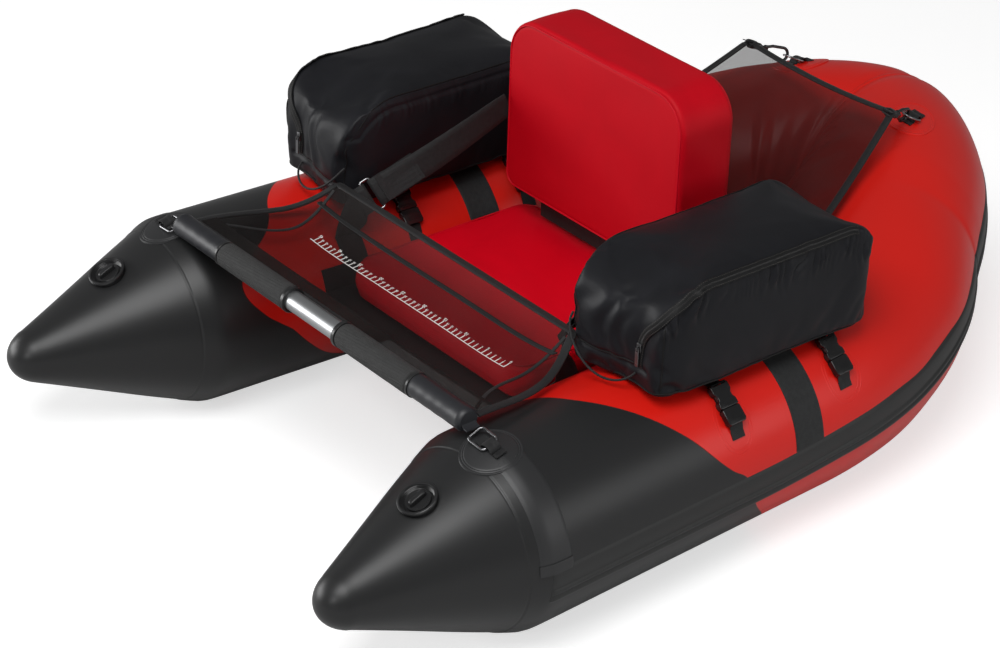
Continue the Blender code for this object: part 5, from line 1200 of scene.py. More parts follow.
flap = thick_sheet("backrest_folding_flap", [
    [(x, FLAP_Y + 0.0006 * math.sin(x * 40) * math.sin((z - 0.26) * 72), z)
     for x in np.linspace(-FLAP_HALF, FLAP_HALF, 60)]
    for z in np.linspace(FLAP_LOW, FLAP_HIGH, 16)], 0.0028)
blended(flap, "backrest_flap", (0, 0.0227, 0.262))

# The backrest straps: flat webbing from the backrest's sides down to plain steel frame
# buckles, which hang from short anchor straps sewn to the sling's flaps.
STRAP_X, STRAP_HALF, FRAME_HALF, FRAME_WIRE = 0.202, 0.023, 0.0084, 0.0024


def strap_between(name, points, widths, thickness=0.0022, steps=4):
    """Webbing through points, each with its own half-width vector, with soft edges."""
    fine, halves = [], []
    for i in range(len(points) - 1):
        for t in [k / steps for k in range(steps)]:
            fine.append(points[i].lerp(points[i + 1], t))
            halves.append(widths[i].lerp(widths[i + 1], t).normalized() * widths[i].length)
    section = ((-1, 0), (-0.97, 0.9), (-0.5, 1), (0, 1), (0.5, 1), (0.97, 0.9), (1, 0),
               (0.97, -0.9), (0.5, -1), (0, -1), (-0.5, -1), (-0.97, -0.9))
    rows = []
    for (point, heading), half in zip(headings(fine + points[-1:]), halves + widths[-1:]):
        normal = heading.cross(half).normalized() * thickness / 2
        rows.append([point + half * u + normal * v for u, v in section])
    return loft(name, rows)


for side, name in SIDE_NAMES.items():
    lower = 0.058 if side > 0 else 0.0
    top = Vector((side * STRAP_X, 0.842 - MIDDLE_Y, 0.458 - lower))
    seam = Vector((side * STRAP_X, BACK_FRONT + 0.006, 0.440 - lower))
    target = Vector((side * 0.247, 0.572 - MIDDLE_Y, 0.330))
    knee = Vector((side * STRAP_X, BACK_FRONT - 0.0115, 0))
    knee.z = top.z + (target.z - top.z) * (top.y - knee.y) / (top.y - target.y)
    along = (target - knee).normalized()
    upright = square_to(UP, (knee - top).normalized())
    rolled = square_to(upright * 0.8 - square_to(Vector((-side, 0, 0)), along) * 0.6, along)
    normal = (along.cross(rolled) * side).normalized()
    buckle_place = axes(target - along * FRAME_HALF, rolled, along, rolled.cross(along))
    rim = ring_points(buckle_place, 2 * FRAME_HALF, 0.0518, 0.0036, 8)
    dress(round_wire(name + "_frame_buckle", rim, FRAME_WIRE, 14, ring=True), STEEL_FINISH,
          "steel", name + "_strap_buckle")
    wrap = FRAME_WIRE + 0.0005 + 0.0012

    def fold(bar, way, reach):
        """Webbing turned round a bar of the buckle and back under itself."""
        line = [bar + way * (wrap * math.cos(turn)) + normal * (wrap * math.sin(turn))
                for turn in [math.pi / 2 - math.pi * k / 12 for k in range(13)]]
        return line + [bar - way * reach * 0.5 - normal * wrap * 0.9,
                       bar - way * reach - normal * wrap * 0.75]

    upper = fold(target - along * FRAME_HALF, along, 0.028)
    knee.z = 0.4355 - lower
    points, widths = [seam], [upright * STRAP_HALF]
    for t in [k / 10 for k in range(10)]:
        points.append(knee.lerp(upper[0], t) - UP * (0.004 * math.sin(math.pi * t)))
        widths.append(upright.lerp(rolled, t).normalized() * STRAP_HALF)
    strap = strap_between(name + "_backrest_strap", points + upper,
                          widths + [rolled * STRAP_HALF] * len(upper))
    blended(strap, name + "_back_strap", tuple(upper[0]))
    lower_bar = target + along * FRAME_HALF
    s = along_at(0.545)
    tube_way = skin_frame(side, s, math.radians(134)).to_3x3() @ Vector((1, 0, 0))
    tube_way = tube_way if tube_way.dot(rolled) > 0 else -tube_way
    points = fold(lower_bar, -along, 0.020)[::-1] + [lower_bar + normal * wrap + along * 0.016]
    widths = [rolled * 0.0228] * len(points)
    for angle in np.linspace(134, 153, 10):
        points.append(Vector(skin(side, s, math.radians(angle), 0.0030)))
        widths.append(tube_way * 0.0228)
    dress(strap_between(name + "_strap_anchor", points, widths), WEBBING_FINISH, "webbing_black")
    end = target - along * 0.036 + normal * 0.0030
    tail = strap_between("tail", [end - along * 0.05 - normal * 0.0004, end,
                                  end + along * 0.020 + normal * 0.003],
                         [rolled * 0.0226] * 3, 0.0020)
    tack = [end - along * 0.045 + normal * 0.0016 + rolled * (0.018 * t)
            for t in np.linspace(-1, 1, 12)]
    tack = row_of("bars", tack, [normal] * 12, 0.0026, (0.0020, 0.0007, 0.0007), THREAD_FINISH)
    dress(join(name + "_strap_tail", tail, tack), WEBBING_FINISH, "webbing_black")

# The side bags: soft zipped boxes of coated nylon on top of the tubes, each gathered
# along its zip tape, piped at the rims, with a cord loop at the inner front corner.
BAG_MIDDLE, BAG_FRONT, BAG_LONG, BAG_HALF = 0.3665, -0.25735, 0.398, 0.0925
BAG_LOW, BAG_HIGH, BAG_ROLLS = 0.3022, 0.477, (0.080, 0.055)
BAG_OUTSIDE, BAG_INSIDE = BAG_MIDDLE + BAG_HALF, BAG_MIDDLE - BAG_HALF
BAG_CORNERS, LOW_EDGE, HIGH_EDGE = [0.022] * 4, 0.012, 0.014


def bag_crown(y):
    """Height of a bag's top at a distance behind its front end, rolled down at both ends."""
    y = np.clip(y, 0, BAG_LONG)
    fall = 0
    for roll, reach in zip(BAG_ROLLS, (y, BAG_LONG - y)):
        over = np.clip(roll - reach, 0, roll)
        fall = fall + roll - np.sqrt(roll ** 2 - over ** 2)
    return BAG_HIGH - fall


def bag_body(side, name):
    """A box of cloth whose top rolls down over both ends, with an even net of faces."""
    half = BAG_LONG / 2

    def outline(inset):
        return corner_outline(BAG_HALF, half, BAG_CORNERS, inset, 190)

    rows = [(outline(LOW_EDGE) * t, BAG_LOW) for t in np.linspace(0.02, 0.97, 14)]
    rows += [(outline(LOW_EDGE * (1 - math.sin(turn))), BAG_LOW + LOW_EDGE * (1 - math.cos(turn)))
             for turn in np.linspace(0, math.pi / 2, 8)]
    rows += [(outline(0.0), z)
             for z in np.linspace(BAG_LOW + LOW_EDGE, BAG_HIGH - HIGH_EDGE, 30)[1:-1]]
    rows += [(outline(HIGH_EDGE * (1 - math.cos(turn))),
              BAG_HIGH - HIGH_EDGE + 0.011 * math.sin(turn))
             for turn in np.linspace(0, math.pi / 2, 9)]
    rows += [(outline(HIGH_EDGE) * t, BAG_HIGH - 0.003 + 0.006 * (1 - t ** 2))
             for t in np.linspace(0.97, 0.02, 30)]
    grid = []
    for line, z in rows:
        x, y = line.T
        front, rear = ease(-y, 0.10, half), ease(y, 0.05, half)
        inner = ease(0.045 - side * x, 0.0, 0.10)
        height = BAG_LOW + (z - BAG_LOW) * (bag_crown(y + half) - BAG_LOW) / (BAG_HIGH - BAG_LOW)
        grid.append(np.stack([side * BAG_MIDDLE + x * (1 + 0.075 * (1 - front)),
                              BAG_FRONT + half + y - 0.014 * front * inner + 0.011 * rear,
                              height], 1))
    body = loft(name + "_bag_cover", grid, 80)
    even = body.modifiers.new("even", "REMESH")
    even.mode, even.voxel_size = "VOXEL", 0.0050
    return baked(body)


BAG_FINISH = satin("bag nylon", (0.0102, 0.0104, 0.0124), 0.44, change=0.15, wrinkle=0.0015)
ZIP_FINISH = grained("zip tape", (0.0070, 0.0070, 0.0072), 0.60, change=0.2, depth=0.0001,
                     specular=0.2)
COIL_FINISH = grained("zip coil", (0.014, 0.013, 0.013), 0.45, change=0.2, depth=0.00005)
ZIP_THREAD_FINISH = grained("zip thread", (0.060, 0.055, 0.050), 0.55, grain=2500, depth=0.00002)
ZIP_STEEL_FINISH = grained("dark zip metal", (0.15, 0.15, 0.155), 0.30, grain=500, change=0.2,
                           depth=0.00002, metallic=1.0)


def bell(value, middle, width):
    return np.exp(-((value - middle) / width) ** 2)


def bag_folds(side, seed):
    """Puckers under the zip, folds on the front end and a faint unevenness elsewhere."""
    def field(p, n):
        x, y, z = side * (p[:, 0] - side * BAG_MIDDLE), p[:, 1] - BAG_FRONT, p[:, 2]
        outer, front = ease(n[:, 0] * side, 0.45, 0.9), ease(-n[:, 1], 0.3, 0.9)
        edge = bag_crown(np.clip(y, 0.012, BAG_LONG - 0.012)) - 0.016
        below = np.clip(edge - z, 0, 1)
        wander = y + 0.004 * np.sin(z * 90 + seed) + 0.10 * below * np.sin(y * 23 + seed)
        wave = np.abs(np.sin(wander * 205 + 2.9 * np.sin(y * 37 + seed)
                             + 1.3 * np.sin(y * 83 + seed))
                      * (0.65 + 0.35 * np.sin(y * 131 + below * 60)))
        clusters = 0.30 + 0.70 * np.clip(np.sin(y * 27 + seed * 2.1) + 0.55
                                         + 1.2 * (y > 0.34) + 0.8 * (y < 0.07), 0, 1)
        reach = 0.014 + 0.010 * np.sin(y * 63 + seed) ** 2
        pucker = outer * clusters * 0.0074 * (wave ** 0.8 - 0.45) * bell(below, 0.012, reach)
        groove = -0.0030 * bell(below, 0.003, 0.004) * ease(-n[:, 0] * side, 0.35, 0.8)
        inner_edge = ease(-n[:, 0] * side, 0.45, 0.9) * 0.0016 * (wave - 0.5) \
            * bell(below, 0.010, 0.012)
        hang = front * 0.0022 * np.sin(x * 150 + 1.8 * np.sin(z * 52 + seed)
                                       + 1.3 * np.sin(x * 60) + seed) \
            * ease(z, 0.330, 0.365) * ease(0.455 - z, 0, 0.05) * (1 - 0.85 * bell(x, 0.0455, 0.016))
        tuck = -0.0035 * front * bell(z, 0.338, 0.005) * ease(x + 0.085, 0, 0.01) \
            * ease(0.070 - x, 0, 0.01)
        broad = 0.0009 * np.sin(y * 19 + 1.8 * np.sin(x * 24 + seed)) \
            * np.sin(x * 21 + z * 17 + seed)
        return pucker + groove + inner_edge + hang + tuck + broad - 0.0010
    return field


def bag_slack(side):
    """How far the cloth run may move a place: little on the flat sides and at the slider."""
    def share(p):
        x, y, z = side * p[:, 0] - BAG_MIDDLE, p[:, 1] - BAG_FRONT, p[:, 2]
        ends = ease(0.09 - y, 0, 0.06) + 0.6 * ease(y - 0.33, 0, 0.05)
        slider = np.exp(-(((x - 0.0455) / 0.022) ** 2 + ((z - 0.385) / 0.068) ** 2)) \
            * ease(0.05 - y, 0, 0.03)
        return (np.clip(0.35 + 0.65 * ends, 0, 1) * (1 - slider))[:, None]
    return share


def rounded_off(path):
    """Cut each corner of an open line at its quarters."""
    return path[:1] + [a.lerp(b, t) for a, b in zip(path, path[1:]) for t in (0.25, 0.75)] \
        + path[-1:]


for side, name in SIDE_NAMES.items():
    bag = bag_body(side, name)
    blown(bag, 1.6, 0.035, 0.009, 2.0, fixed=lambda p: p[:, 2] < 0.306, loose=bag_slack(side))
    bag.modifiers.new("finer", "SUBSURF").levels = 1
    rumple(baked(bag), bag_folds(side, 0.7 if side > 0 else 2.1))
    bag.data.shade_smooth()
    dress(bag, BAG_FINISH, "bag_black", name + "_bag")
    cover = BVHTree.FromPolygons([v.co for v in bag.data.vertices],
                                 [p.vertices for p in bag.data.polygons])
    slider_low, slider_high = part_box(name + "_zip_slider")
    slider_x = (slider_low[0] + slider_high[0]) / 2
    front_x = abs(slider_x)

    def laid(point, lift):
        place, normal, _, _ = cover.find_nearest(point)
        return place + normal * lift, normal

    def spot(x, y, z):
        return Vector((side * x, BAG_FRONT + y, z))

    path = [spot(BAG_OUTSIDE + 0.004, y, float(bag_crown(y)) - 0.005)
            for y in np.linspace(0.365, 0.030, 40)]
    path += [spot(BAG_OUTSIDE - 0.002, 0.014, 0.446), spot(BAG_OUTSIDE - 0.014, 0.003, 0.424),
             spot(front_x + 0.016, 0, 0.406), spot(front_x + 0.005, 0, 0.390)]
    path += [spot(front_x, 0, z) for z in (0.372, 0.355, 0.344)]
    spots, facings = (list(rows) for rows in zip(*[
        laid(point, 0.0009) for point in rounded_off(rounded_off(path))]))
    for _ in range(3):
        spots[1:-1] = [(a + b * 2 + c) / 4 for a, b, c in zip(spots, spots[1:], spots[2:])]
    for _ in range(4):
        facings[1:-1] = [(a + b + c).normalized()
                         for a, b, c in zip(facings, facings[1:], facings[2:])]
    dress(tape_along(name + "_zip_tape", spots, facings, 0.015, 0.0022), ZIP_FINISH, "bag_black")
    teeth = row_of(name + "_zip_coil", [p + f * 0.0014 for p, f in zip(spots, facings)], facings,
                   0.0017, (0.0010, 0.0036, 0.0016), COIL_FINISH)
    dress(teeth, None, "bag_black")
    threads = []
    for shift in (-0.0058, 0.0058, -0.0032):
        line = [p + heading.cross(f).normalized() * shift + f * 0.0013
                for (p, heading), f in zip(headings(spots), facings)]
        threads.append(row_of("thread", line, facings, 0.0036, (0.0026, 0.0006, 0.0005),
                              THREAD_FINISH))
    dress(join(name + "_zip_stitches", *threads), ZIP_THREAD_FINISH, "bag_black")
    rim = [Vector((side * BAG_MIDDLE + x, BAG_FRONT + BAG_LONG / 2 + y, BAG_LOW + 0.009))
           for x, y in corner_outline(BAG_HALF, BAG_LONG / 2, BAG_CORNERS, 0.002, 240)]
    corner = [spot(BAG_OUTSIDE - 0.004, 0.003, z) for z in np.linspace(BAG_LOW + 0.012, 0.420, 40)]
    inner_corner = [spot(BAG_INSIDE + 0.004, -0.010, z)
                    for z in np.linspace(BAG_LOW + 0.012, 0.405, 40)]
    inner_corner += [spot(BAG_INSIDE + 0.002, y, float(bag_crown(y)) - 0.006)
                     for y in np.linspace(0.012, 0.385, 60)]
    pocket = [spot(BAG_MIDDLE + x, -0.008, 0.341)
              for x in np.linspace(-BAG_HALF + 0.006, 0.040, 50)]
    cords = []
    for line, size, ring in ((rim, 0.0016, True), (corner, 0.0012, False),
                             (inner_corner, 0.0013, False), (pocket, 0.0013, False)):
        line = [laid(point, 0.0004)[0] for point in line]
        for _ in range(2):
            ends = line[0], line[-1]
            line = [(line[i - 1] + line[i] * 2 + line[(i + 1) % len(line)]) / 4
                    for i in range(len(line))]
            if not ring:
                line[0], line[-1] = ends
        cords.append(round_wire("cord", line, size, 8, ring=ring))
    dress(join(name + "_bag_piping", *cords), ZIP_FINISH, "bag_black")
    hang = []
    for t in np.linspace(0, 1, 60):
        bulge = 4 * t * (1 - t)
        hang.append(spot(BAG_INSIDE + 0.004 + (front_x - BAG_INSIDE - 0.010) * t,
                         -0.012 - 0.026 * math.sqrt(bulge) + 0.010 * t,
                         0.372 - 0.044 * t - 0.034 * bulge ** 0.7))
    loop = round_wire(name + "_bag_cord_loop", hang, 0.0018, 12)
    dress(loop, WEBBING_FINISH, "webbing_black")
    tuple(hang[0])
    length_of(hang)
    [tuple(p) for p in hang]
    forward = ((1, 0, 0), (0, 0, 1), (0, -1, 0))
    body_place = axes((slider_x, BAG_FRONT - 0.0003, 0.372), *forward)
    right_side = [(0.0036, -0.0070), (0.0050, -0.0035), (0.0042, 0.0030), (0.0046, 0.0066),
                  (0.0022, 0.0074)]
    shell = moulded("shell", [(-0.0036, -0.0070)] + right_side
                    + [(-x, y) for x, y in right_side[:0:-1]], 0.0048, body_place, 0.0007)
    arch = round_wire("arch", [body_place @ Vector((0, y, z)) for y, z in
                               ((-0.0030, 0.0046), (-0.0030, 0.0068), (-0.0024, 0.0075),
                                (0, 0.0077), (0.0024, 0.0075), (0.0030, 0.0068),
                                (0.0030, 0.0046))], 0.0008, 10)
    dress(join(name + "_zip_slider_body", shell, arch), ZIP_STEEL_FINISH, "steel",
          name + "_zip_slider", body=name + "_zip")
    sheet_place = axes(JOINTS[name + "_pull_swing"]["pos_m"], *forward)
    outer = [(x, y - 0.0141) for x, y in rounded_rectangle(0.0035, 0.015, 0.0028, 8)]
    hole = [(x, y - 0.00295) for x, y in rounded_rectangle(0.0018, 0.00205, 0.0008, 8)]
    grid = [[sheet_place @ Vector(p) for p in
             ((ox * 0.9, oy, 0.0009), (ox, oy, 0.0004), (ox, oy, -0.0004), (ox * 0.9, oy, -0.0009),
              (hx, hy, -0.0009), (hx, hy, 0.0009))] for (ox, oy), (hx, hy) in zip(outer, hole)]
    dress(loft(name + "_zip_pull_tab", grid, 35, ring=True), ZIP_STEEL_FINISH, "steel",
          name + "_zip_pull", body=name + "_pull")

# The hold-downs of the bags: a wide band round each tube and, before and behind it,
# webbing with side-release buckles outside and inside the tube.
BAND_FROM_NOSE, BAND_TOP = 0.800, math.radians(148)
SOCKET_ANGLE, INNER_ANGLE, WELD_ANGLE = (math.radians(angle) for angle in (47, 131, 38))
BUCKLE_DEEP, BUCKLE_HALF, SOCKET_LONG, PLUG_HEAD = 0.0108, 0.0170, 0.039, 0.0265
BAND_FINISH = woven("wide band", (0.0170, 0.0175, 0.0180), 0.62, pitch=300, depth=0.0002)
BUCKLE_FINISH = grained("buckle plastic", (0.0060, 0.0060, 0.0064), 0.27, grain=1300,
                        depth=0.00003)
s = along_at(BAND_FROM_NOSE)
low = float(strake_angle(BAND_FROM_NOSE)) + 0.031 / ARM_RADIUS
for side, name in SIDE_NAMES.items():
    band = laid_band(name + "_bag_band_webbing", side, s, low, (-0.029, 0.029),
                     (0, (BAND_TOP - low) * ARM_RADIUS), 0.0006, 0.0019, 24, 90,
                     wave=lambda u, v: 0.00025 * math.sin(v * 300) if abs(u) < 0.027 else 0)
    dress(band, BAND_FINISH, "webbing_black", name + "_bag_band")
    weld = laid_band("weld", side, s, low, (-0.033, 0.033), (-0.003, 0.004), 0.0003, 0.0007, 12, 6)
    dress(join(name + "_band_weld", weld), HULL_FINISH, "hull_red")


def weld_rings(name, rings, radius):
    """Thin rings of weld, given the place on the skin where the coating is red."""
    piece = join(name, *[round_wire("ring", ring, radius, 8, ring=True) for ring in rings])
    lay = piece.data.uv_layers.new(name="lay")
    lay.data.foreach_set("uv", [0.5] * (2 * len(lay.data)))
    return dress(piece, HULL_FINISH, "hull_red")


def box_tool(place, *boxes):
    """Cutters given as (low corner, high corner) in a frame."""
    bm = bmesh.new()
    for low, high in boxes:
        bmesh.ops.create_cube(bm, size=1, matrix=place @ moved(
            *[(a + b) / 2 for a, b in zip(low, high)])
            @ Matrix.Diagonal([b - a for a, b in zip(low, high)] + [1]))
    return from_bmesh("tool", bm)


def buckle_ribs(place, half, stops):
    return [stacked("rib", rounded_rectangle(half, 0.0006, 0.0005, 3),
                    [(1, BUCKLE_DEEP - 0.0002), (1, BUCKLE_DEEP + 0.0004),
                     (0.9, BUCKLE_DEEP + 0.0007)], place @ moved(0, y, 0)) for y in stops]


def mirrored(half_outline):
    """A closed outline from its +X half, which runs up from the foot."""
    return half_outline + [(-x, y) for x, y in half_outline[::-1]]


def socket_body(place):
    """The socket: a flat box scalloped where the prongs show, with a slot and ribs."""
    outline = [(BUCKLE_HALF - 0.002, 0.0)]
    outline += [(BUCKLE_HALF - max(0.0, 0.0036 * math.exp(-((y - 0.0170) / 0.0058) ** 4)), y)
                for y in np.linspace(0.0012, SOCKET_LONG - 0.004, 26)]
    outline.append((BUCKLE_HALF - 0.0035, SOCKET_LONG))
    shell = moulded("shell", mirrored(outline), BUCKLE_DEEP, place, 0.0012)
    cut_out(shell, box_tool(
        place, ((-0.0140, -0.004, 0.0022), (0.0140, 0.0285, BUCKLE_DEEP - 0.0022)),
        ((-0.020, 0.0115, 0.0034), (0.020, 0.0225, BUCKLE_DEEP - 0.0034)),
        ((-0.0128, 0.0345, -0.002), (0.0128, 0.0362, BUCKLE_DEEP + 0.002))), use_self=True)
    return [shell, *buckle_ribs(place, 0.0100, (0.0040, 0.0062, 0.0282, 0.0302))]


def plug_body(place):
    """The plug: a webbing head with two sprung prongs and a middle guide."""
    head = [(BUCKLE_HALF - 0.0030, -PLUG_HEAD), (BUCKLE_HALF, 0.004 - PLUG_HEAD),
            (BUCKLE_HALF, -0.0026), (BUCKLE_HALF - 0.0022, -0.0003)]
    prong = [(0.0133, -0.004), (0.0133, 0.008), (0.0130, 0.0128), (0.0136, 0.0215),
             (0.0125, 0.0254), (0.0100, 0.0262), (0.0088, 0.0250), (0.0094, 0.0170),
             (0.0096, 0.0100), (0.0090, -0.004)]
    inside = place @ moved(0, 0, 0.0030)
    return [moulded("head", mirrored(head), BUCKLE_DEEP, place, 0.0012),
            moulded("prong", [(-x, y) for x, y in prong[::-1]], 0.0046, inside),
            moulded("prong", prong, 0.0046, inside),
            moulded("guide", mirrored([(0.0019, -0.004), (0.0019, 0.019), (0.0008, 0.0204)]),
                    0.0046, inside),
            *buckle_ribs(place, 0.0105, (-0.0195, -0.0175, -0.0155, -0.0135))]


def buckle_webbing(name, side, s, place, inside, degrees):
    """Webbing from inside a buckle's end on to the skin at each angle."""
    points = [place @ Vector((0, inside, 0.00525))]
    points += [Vector(skin(side, s, math.radians(angle), 0.0016)) for angle in degrees]
    return strap_between(name, points, [place.to_3x3() @ Vector((0.0125, 0, 0))] * len(points),
                         0.0018)


for side, name in SIDE_NAMES.items():
    for end, from_nose in (("front", 0.664), ("rear", 0.889)):
        s, label = along_at(from_nose), name + "_" + end
        place = skin_frame(side, s, SOCKET_ANGLE, 0.0012)
        way = -joint_axis(label + "_clip_slide")
        z = square_to(place.to_3x3() @ UP, way)
        place = axes(place.translation, way.cross(z), way, z)
        dress(join(label + "_buckle_socket", *socket_body(place)), BUCKLE_FINISH, "plastic_black",
              label + "_socket")
        dress(buckle_webbing(label + "_bag_webbing", side, s, place, 0.0365,
                             np.linspace(65.0, 84, 9)), WEBBING_FINISH, "webbing_black")
        dress(join(label + "_buckle_plug", *plug_body(place)), BUCKLE_FINISH, "plastic_black",
              label + "_plug", body=label + "_clip")
        dress(buckle_webbing(label + "_tail_webbing", side, s, place, -0.0220,
                             (33.5, 32.2, 30.8, 29.5)), WEBBING_FINISH, "webbing_black",
              body=label + "_clip")
        weld_rings(label + "_weld_rings", [
            [skin(side, s + radius * math.cos(t) * 0.8,
                  WELD_ANGLE + radius * 1.15 * math.sin(t) / ARM_RADIUS)
             for t in np.linspace(0, math.tau, 90)[:-1]] for radius in (0.034, 0.040)], 0.0012)
        inner = skin_frame(side, s, INNER_ANGLE, 0.0012) @ Matrix.Rotation(math.pi, 4, "Z")
        dress(join(label + "_inner_side_buckle", *socket_body(inner), *plug_body(inner)),
              BUCKLE_FINISH, "plastic_black", label + "_inner_buckle")
        straps = [buckle_webbing("up", side, s, inner, 0.0365, np.linspace(113.0, 96, 9)),
                  buckle_webbing("down", side, s, inner, -0.0200, (146.5, 148, 149.5, 151))]
        dress(join(label + "_inner_webbing", *straps), WEBBING_FINISH, "webbing_black")

# The stern fittings: a round welded patch with a webbing loop and a D-ring on each
# side, the net's snap hook with its sprung gate, and the webbing knotted to the net.
HOOK_MIDDLE, HOOK_NECK, HOOK_BEND, HOOK_HALF, HOOK_DEEP = 0.0359, 0.0699, 0.011, 0.011, 0.008
STERN_ANGLE, LAP, KNOT_HALF = math.radians(80), 0.0052, 0.0052
NET_CORNERS = {}
STERN_PATCH_FINISH = grained("red patch coating", HULL_RED, 0.34, grain=700, tone=4)
s = STERN_END - 0.145
for side, name in SIDE_NAMES.items():
    pivot = Vector(JOINTS[name + "_stern_ring_swing"]["pos_m"])
    leg = joint_axis(name + "_stern_ring_swing")
    pull = square_to(Vector((side * 0.160, 1.300 - MIDDLE_Y, 0.430)) - pivot, leg)
    ring_place = axes(pivot, leg, pull, leg.cross(pull))

    def spot(x, y, z):
        return ring_place @ Vector((x, y, z))

    patch = welded_round(name + "_stern_patch_welded", side, s, STERN_ANGLE, 0.042, 0.0028,
                         grooves=(0.0355, 0.0385))
    dress(patch, STERN_PATCH_FINISH, "hull_red")
    weld_rings(name + "_stern_weld_rings", [
        [skin(side, s + radius * math.cos(t), STERN_ANGLE + radius * math.sin(t) / 0.165, 0.0001)
         for t in np.linspace(0, math.tau, 120)[:-1]] for radius in (0.050, 0.056)], 0.0004)
    normal = square_to(skin_frame(side, s, STERN_ANGLE).to_3x3() @ UP, leg)
    loop_place = axes(pivot - normal * 0.0040, leg, normal.cross(leg), normal)
    dress(folded_loop(name + "_stern_webbing", loop_place, 0.022), WEBBING_FINISH,
          "webbing_black", name + "_stern_patch")
    bow = [spot(x, 0, 0) for x in np.linspace(-0.0140, 0.0140, 8)]
    bow += [spot(0.015 * math.cos(t), 0.030 * math.sin(t), 0)
            for t in np.linspace(0.05, math.pi - 0.05, 40)]
    dress(round_wire(name + "_stern_d_ring", bow, 0.0019, 14, ring=True), STEEL_FINISH, "steel",
          name + "_stern_ring", body=name + "_stern_link")
    hook = [spot(0, HOOK_NECK + y, z) for y, z in
            ((0.004, 0.0035), (-0.003, 0.0045), (-0.012, 0.0080))]
    hook += [spot(0, HOOK_MIDDLE + HOOK_BEND * math.cos(t), HOOK_BEND * math.sin(t))
             for t in np.linspace(math.pi / 2, 1.5 * math.pi, 18)]
    hook.append(spot(0, HOOK_MIDDLE + 0.0068, -HOOK_BEND))
    wire = round_wire("wire", hook, 0.0026)
    outline = mirrored([
        (HOOK_HALF * 0.5, HOOK_NECK - 0.001), (HOOK_HALF - 0.001, HOOK_NECK + HOOK_DEEP - 0.001),
        (HOOK_HALF, HOOK_NECK + HOOK_DEEP + 0.001), (HOOK_HALF, HOOK_NECK + 0.018),
        (HOOK_HALF - 0.002, HOOK_NECK + 0.020)])
    base = moulded("base", outline, HOOK_DEEP, ring_place @ moved(0, 0, -HOOK_DEEP / 2), 0.0012)
    cut_out(base, box_tool(ring_place, ((-0.0084, HOOK_NECK + 0.0080, -0.01),
                                        (0.0084, HOOK_NECK + 0.0174, 0.01))))
    dress(join(name + "_snap_hook", wire, base), BUCKLE_FINISH, "plastic_black",
          name + "_net_hook")
    root = Vector((0, HOOK_NECK - 0.0009, -0.0035))
    tip = Vector((0, HOOK_MIDDLE + 0.0070, -HOOK_BEND))
    gate = [ring_place @ (root + (tip - root).normalized() * t)
            for t in np.linspace(0.0016, (tip - root).length - 0.0010, 8)]
    dress(round_wire(name + "_snap_gate", gate, 0.0018, 12), BUCKLE_FINISH, "plastic_black",
          name + "_hook_gate", body=name + "_gate")
    NET_CORNERS[side] = spot(0, HOOK_NECK + 0.0365, 0)
    bar_y = HOOK_NECK + 0.0187
    lap = [spot(0, bar_y + y, z) for y, z in ((0.026, 0.0030), (0.012, 0.0036), (0.002, LAP))]
    lap += [spot(0, bar_y - LAP * math.cos(t), LAP * math.sin(t))
            for t in np.linspace(math.pi * 0.5, -math.pi * 0.5, 12)]
    lap += [spot(0, bar_y + 0.012, -0.0036), spot(0, bar_y + 0.026, -0.0030)]
    knot = [spot(0.0105 * math.cos(t), bar_y + 0.0115 + 0.0020 * math.sin(t * 2),
                 0.0062 * math.sin(t)) for t in np.linspace(0, math.tau, 36)]
    dress(join(name + "_net_lashing",
               strap_between("lap", lap, [leg * 0.0078] * len(lap), 0.0017, steps=2),
               strap_between("knot", knot, [pull * KNOT_HALF] * 36, steps=1)),
          WEBBING_FINISH, "webbing_black")

# The cargo net behind the backrest: open mesh slung between the tubes and bound with
# black tape, low and slack in the middle, held at its rear corners by the snap hooks.
NET_FRONT, NET_REAR = Vector(skin(1, along_at(0.965), math.radians(126), 0.0022)), NET_CORNERS[1]


def net_point(across, share):
    corner = NET_FRONT.lerp(NET_REAR, share)
    middle = 0.035 * (1 - across ** 2) * (0.35 + 4 * share * (1 - share)) / 1.35
    height = corner.z - 0.014 * 4 * share * (1 - share) - middle
    slack = (1 - across ** 2) * math.sin(math.pi * share)
    height += slack * (0.0030 * math.sin(across * 7 + share * 9)
                       + 0.0020 * math.sin(across * 17 - share * 12))
    x = across * corner.x
    return Vector((x, corner.y, max(height, tube_top(x, corner.y, 0.0024))))


NET_FINISH = mesh_finish("cargo mesh", (0.0120, 0.0085, 0.0080), 0.30)
net = sheet_between("cargo_net_mesh", net_point, 72, 50, 0.0011)
dress(net, NET_FINISH, "mesh_black", "cargo_net")
route = edge_line(net_point, 0.0, 1.0, 40, across=-1) \
    + edge_line(net_point, -1.0, 1.0, 60, share=1.0)[1:] \
    + edge_line(net_point, 1.0, 0.0, 40, across=1)[1:] \
    + edge_line(net_point, 1.0, -1.0, 60, share=0.0)[1:-1]
tape = level_tape("net_binding_tape", route, 0.012, 0.0030, shift=-0.0052, ring=True)
dress(tape, BINDING_FINISH, "webbing_black", "net_binding")
seam = stitch("net_binding_stitches", route, 0.0022, ring=True)

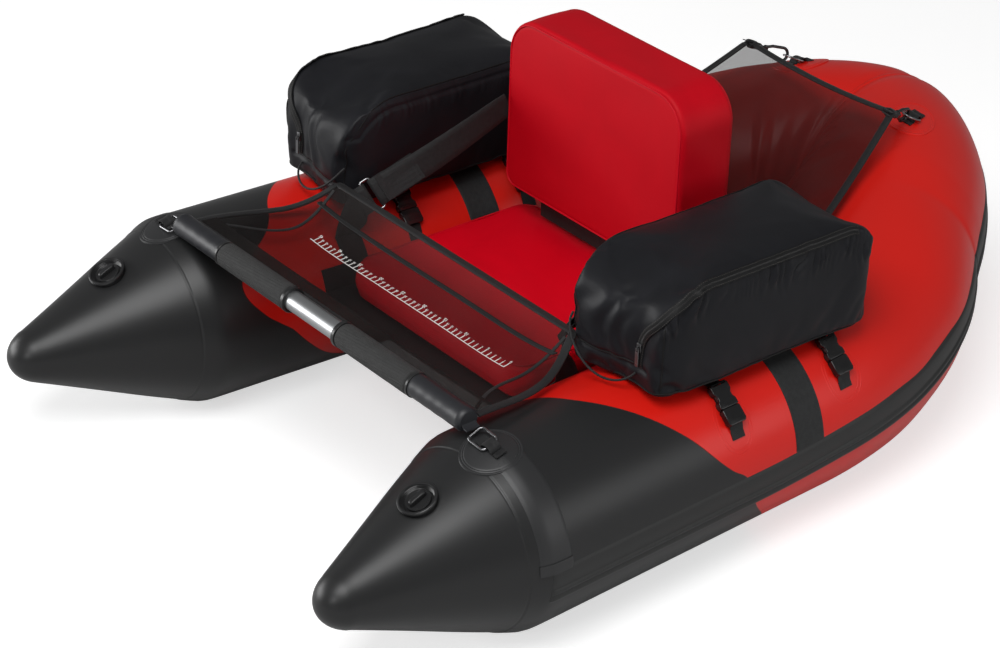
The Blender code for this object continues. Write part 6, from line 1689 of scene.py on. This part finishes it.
# The floor, the soft studio light and the camera.
FLOOR_HALF, WHITE = 9, (1, 1, 1, 1)
floor_mesh = bpy.data.meshes.new("floor")
floor_mesh.from_pydata([(x * FLOOR_HALF, y * FLOOR_HALF, 0)
                        for x, y in ((-1, -1), (1, -1), (1, 1), (-1, 1))], [], [(0, 1, 2, 3)])
floor = show("floor", floor_mesh)
floor.location.z = -0.0006
paper, tree, shader = finish("floor paper", 0.9, specular=0.0)
seen = put(tree, "ShaderNodeLightPath").outputs["Is Camera Ray"]
fill(tree, shader, {"Base Color": (0.62, 0.62, 0.62, 1), "Emission Color": WHITE,
                    "Emission Strength": maths(tree, "MULTIPLY", seen, 0.62)})
floor_mesh.materials.append(paper)
world = bpy.data.worlds.new("studio")
bpy.context.scene.world = world
world.use_nodes = True
tree = world.node_tree
tree.nodes.clear()
seen = put(tree, "ShaderNodeLightPath").outputs["Is Camera Ray"]
lit, shown = (put(tree, "ShaderNodeBackground", {"Color": WHITE, "Strength": strength}).outputs[0]
              for strength in (0.20, 1.0))
mixed = put(tree, "ShaderNodeMixShader", {0: seen, 1: lit, 2: shown})
put(tree, "ShaderNodeOutputWorld", {0: mixed.outputs[0]})


def lamp(name, place, target, width, height, power):
    """A large soft rectangle of light aimed at a point."""
    light = bpy.data.lights.new(name, "AREA")
    light.shape, light.size, light.size_y, light.energy = "RECTANGLE", width, height, power
    holder = show(name, light)
    holder.location = place
    holder.rotation_euler = (Vector(target) - Vector(place)).to_track_quat("-Z", "Y").to_euler()


lamp("key", (1.3, -2.0, 3.6), (0, 0, 0.2), 2.2, 2.2, 117)
lamp("left", (-2.9, -2.6, 0.9), (-0.2, -0.2, 0.15), 2.6, 1.4, 78)
lamp("right", (3.4, 1.4, 1.3), (0.2, 0.2, 0.2), 2.4, 1.4, 24)
lamp("nose", (1.3, -3.7, 1.85), (0.0, -0.7, 0.1), 0.5, 0.5, 16)

AIM, DISTANCE = Vector((-0.0531, 0.68 - MIDDLE_Y, 0.15)), 4.57
azimuth, elevation, roll = (math.radians(angle) for angle in (50.2, 29.8, 2.0))
look = bpy.data.cameras.new("camera")
camera = show("camera", look)
look.sensor_width, look.lens = 36, 104.4
back = Vector((math.sin(azimuth) * math.cos(elevation), -math.cos(azimuth) * math.cos(elevation),
               math.sin(elevation)))
right = Vector((-back.y, back.x, 0)).normalized()
up = back.cross(right)
camera.matrix_world = axes(AIM + back * DISTANCE, right * math.cos(roll) + up * math.sin(roll),
                           up * math.cos(roll) - right * math.sin(roll), back)
bpy.context.scene.camera = camera
bpy.context.scene.view_settings.view_transform = "Standard"
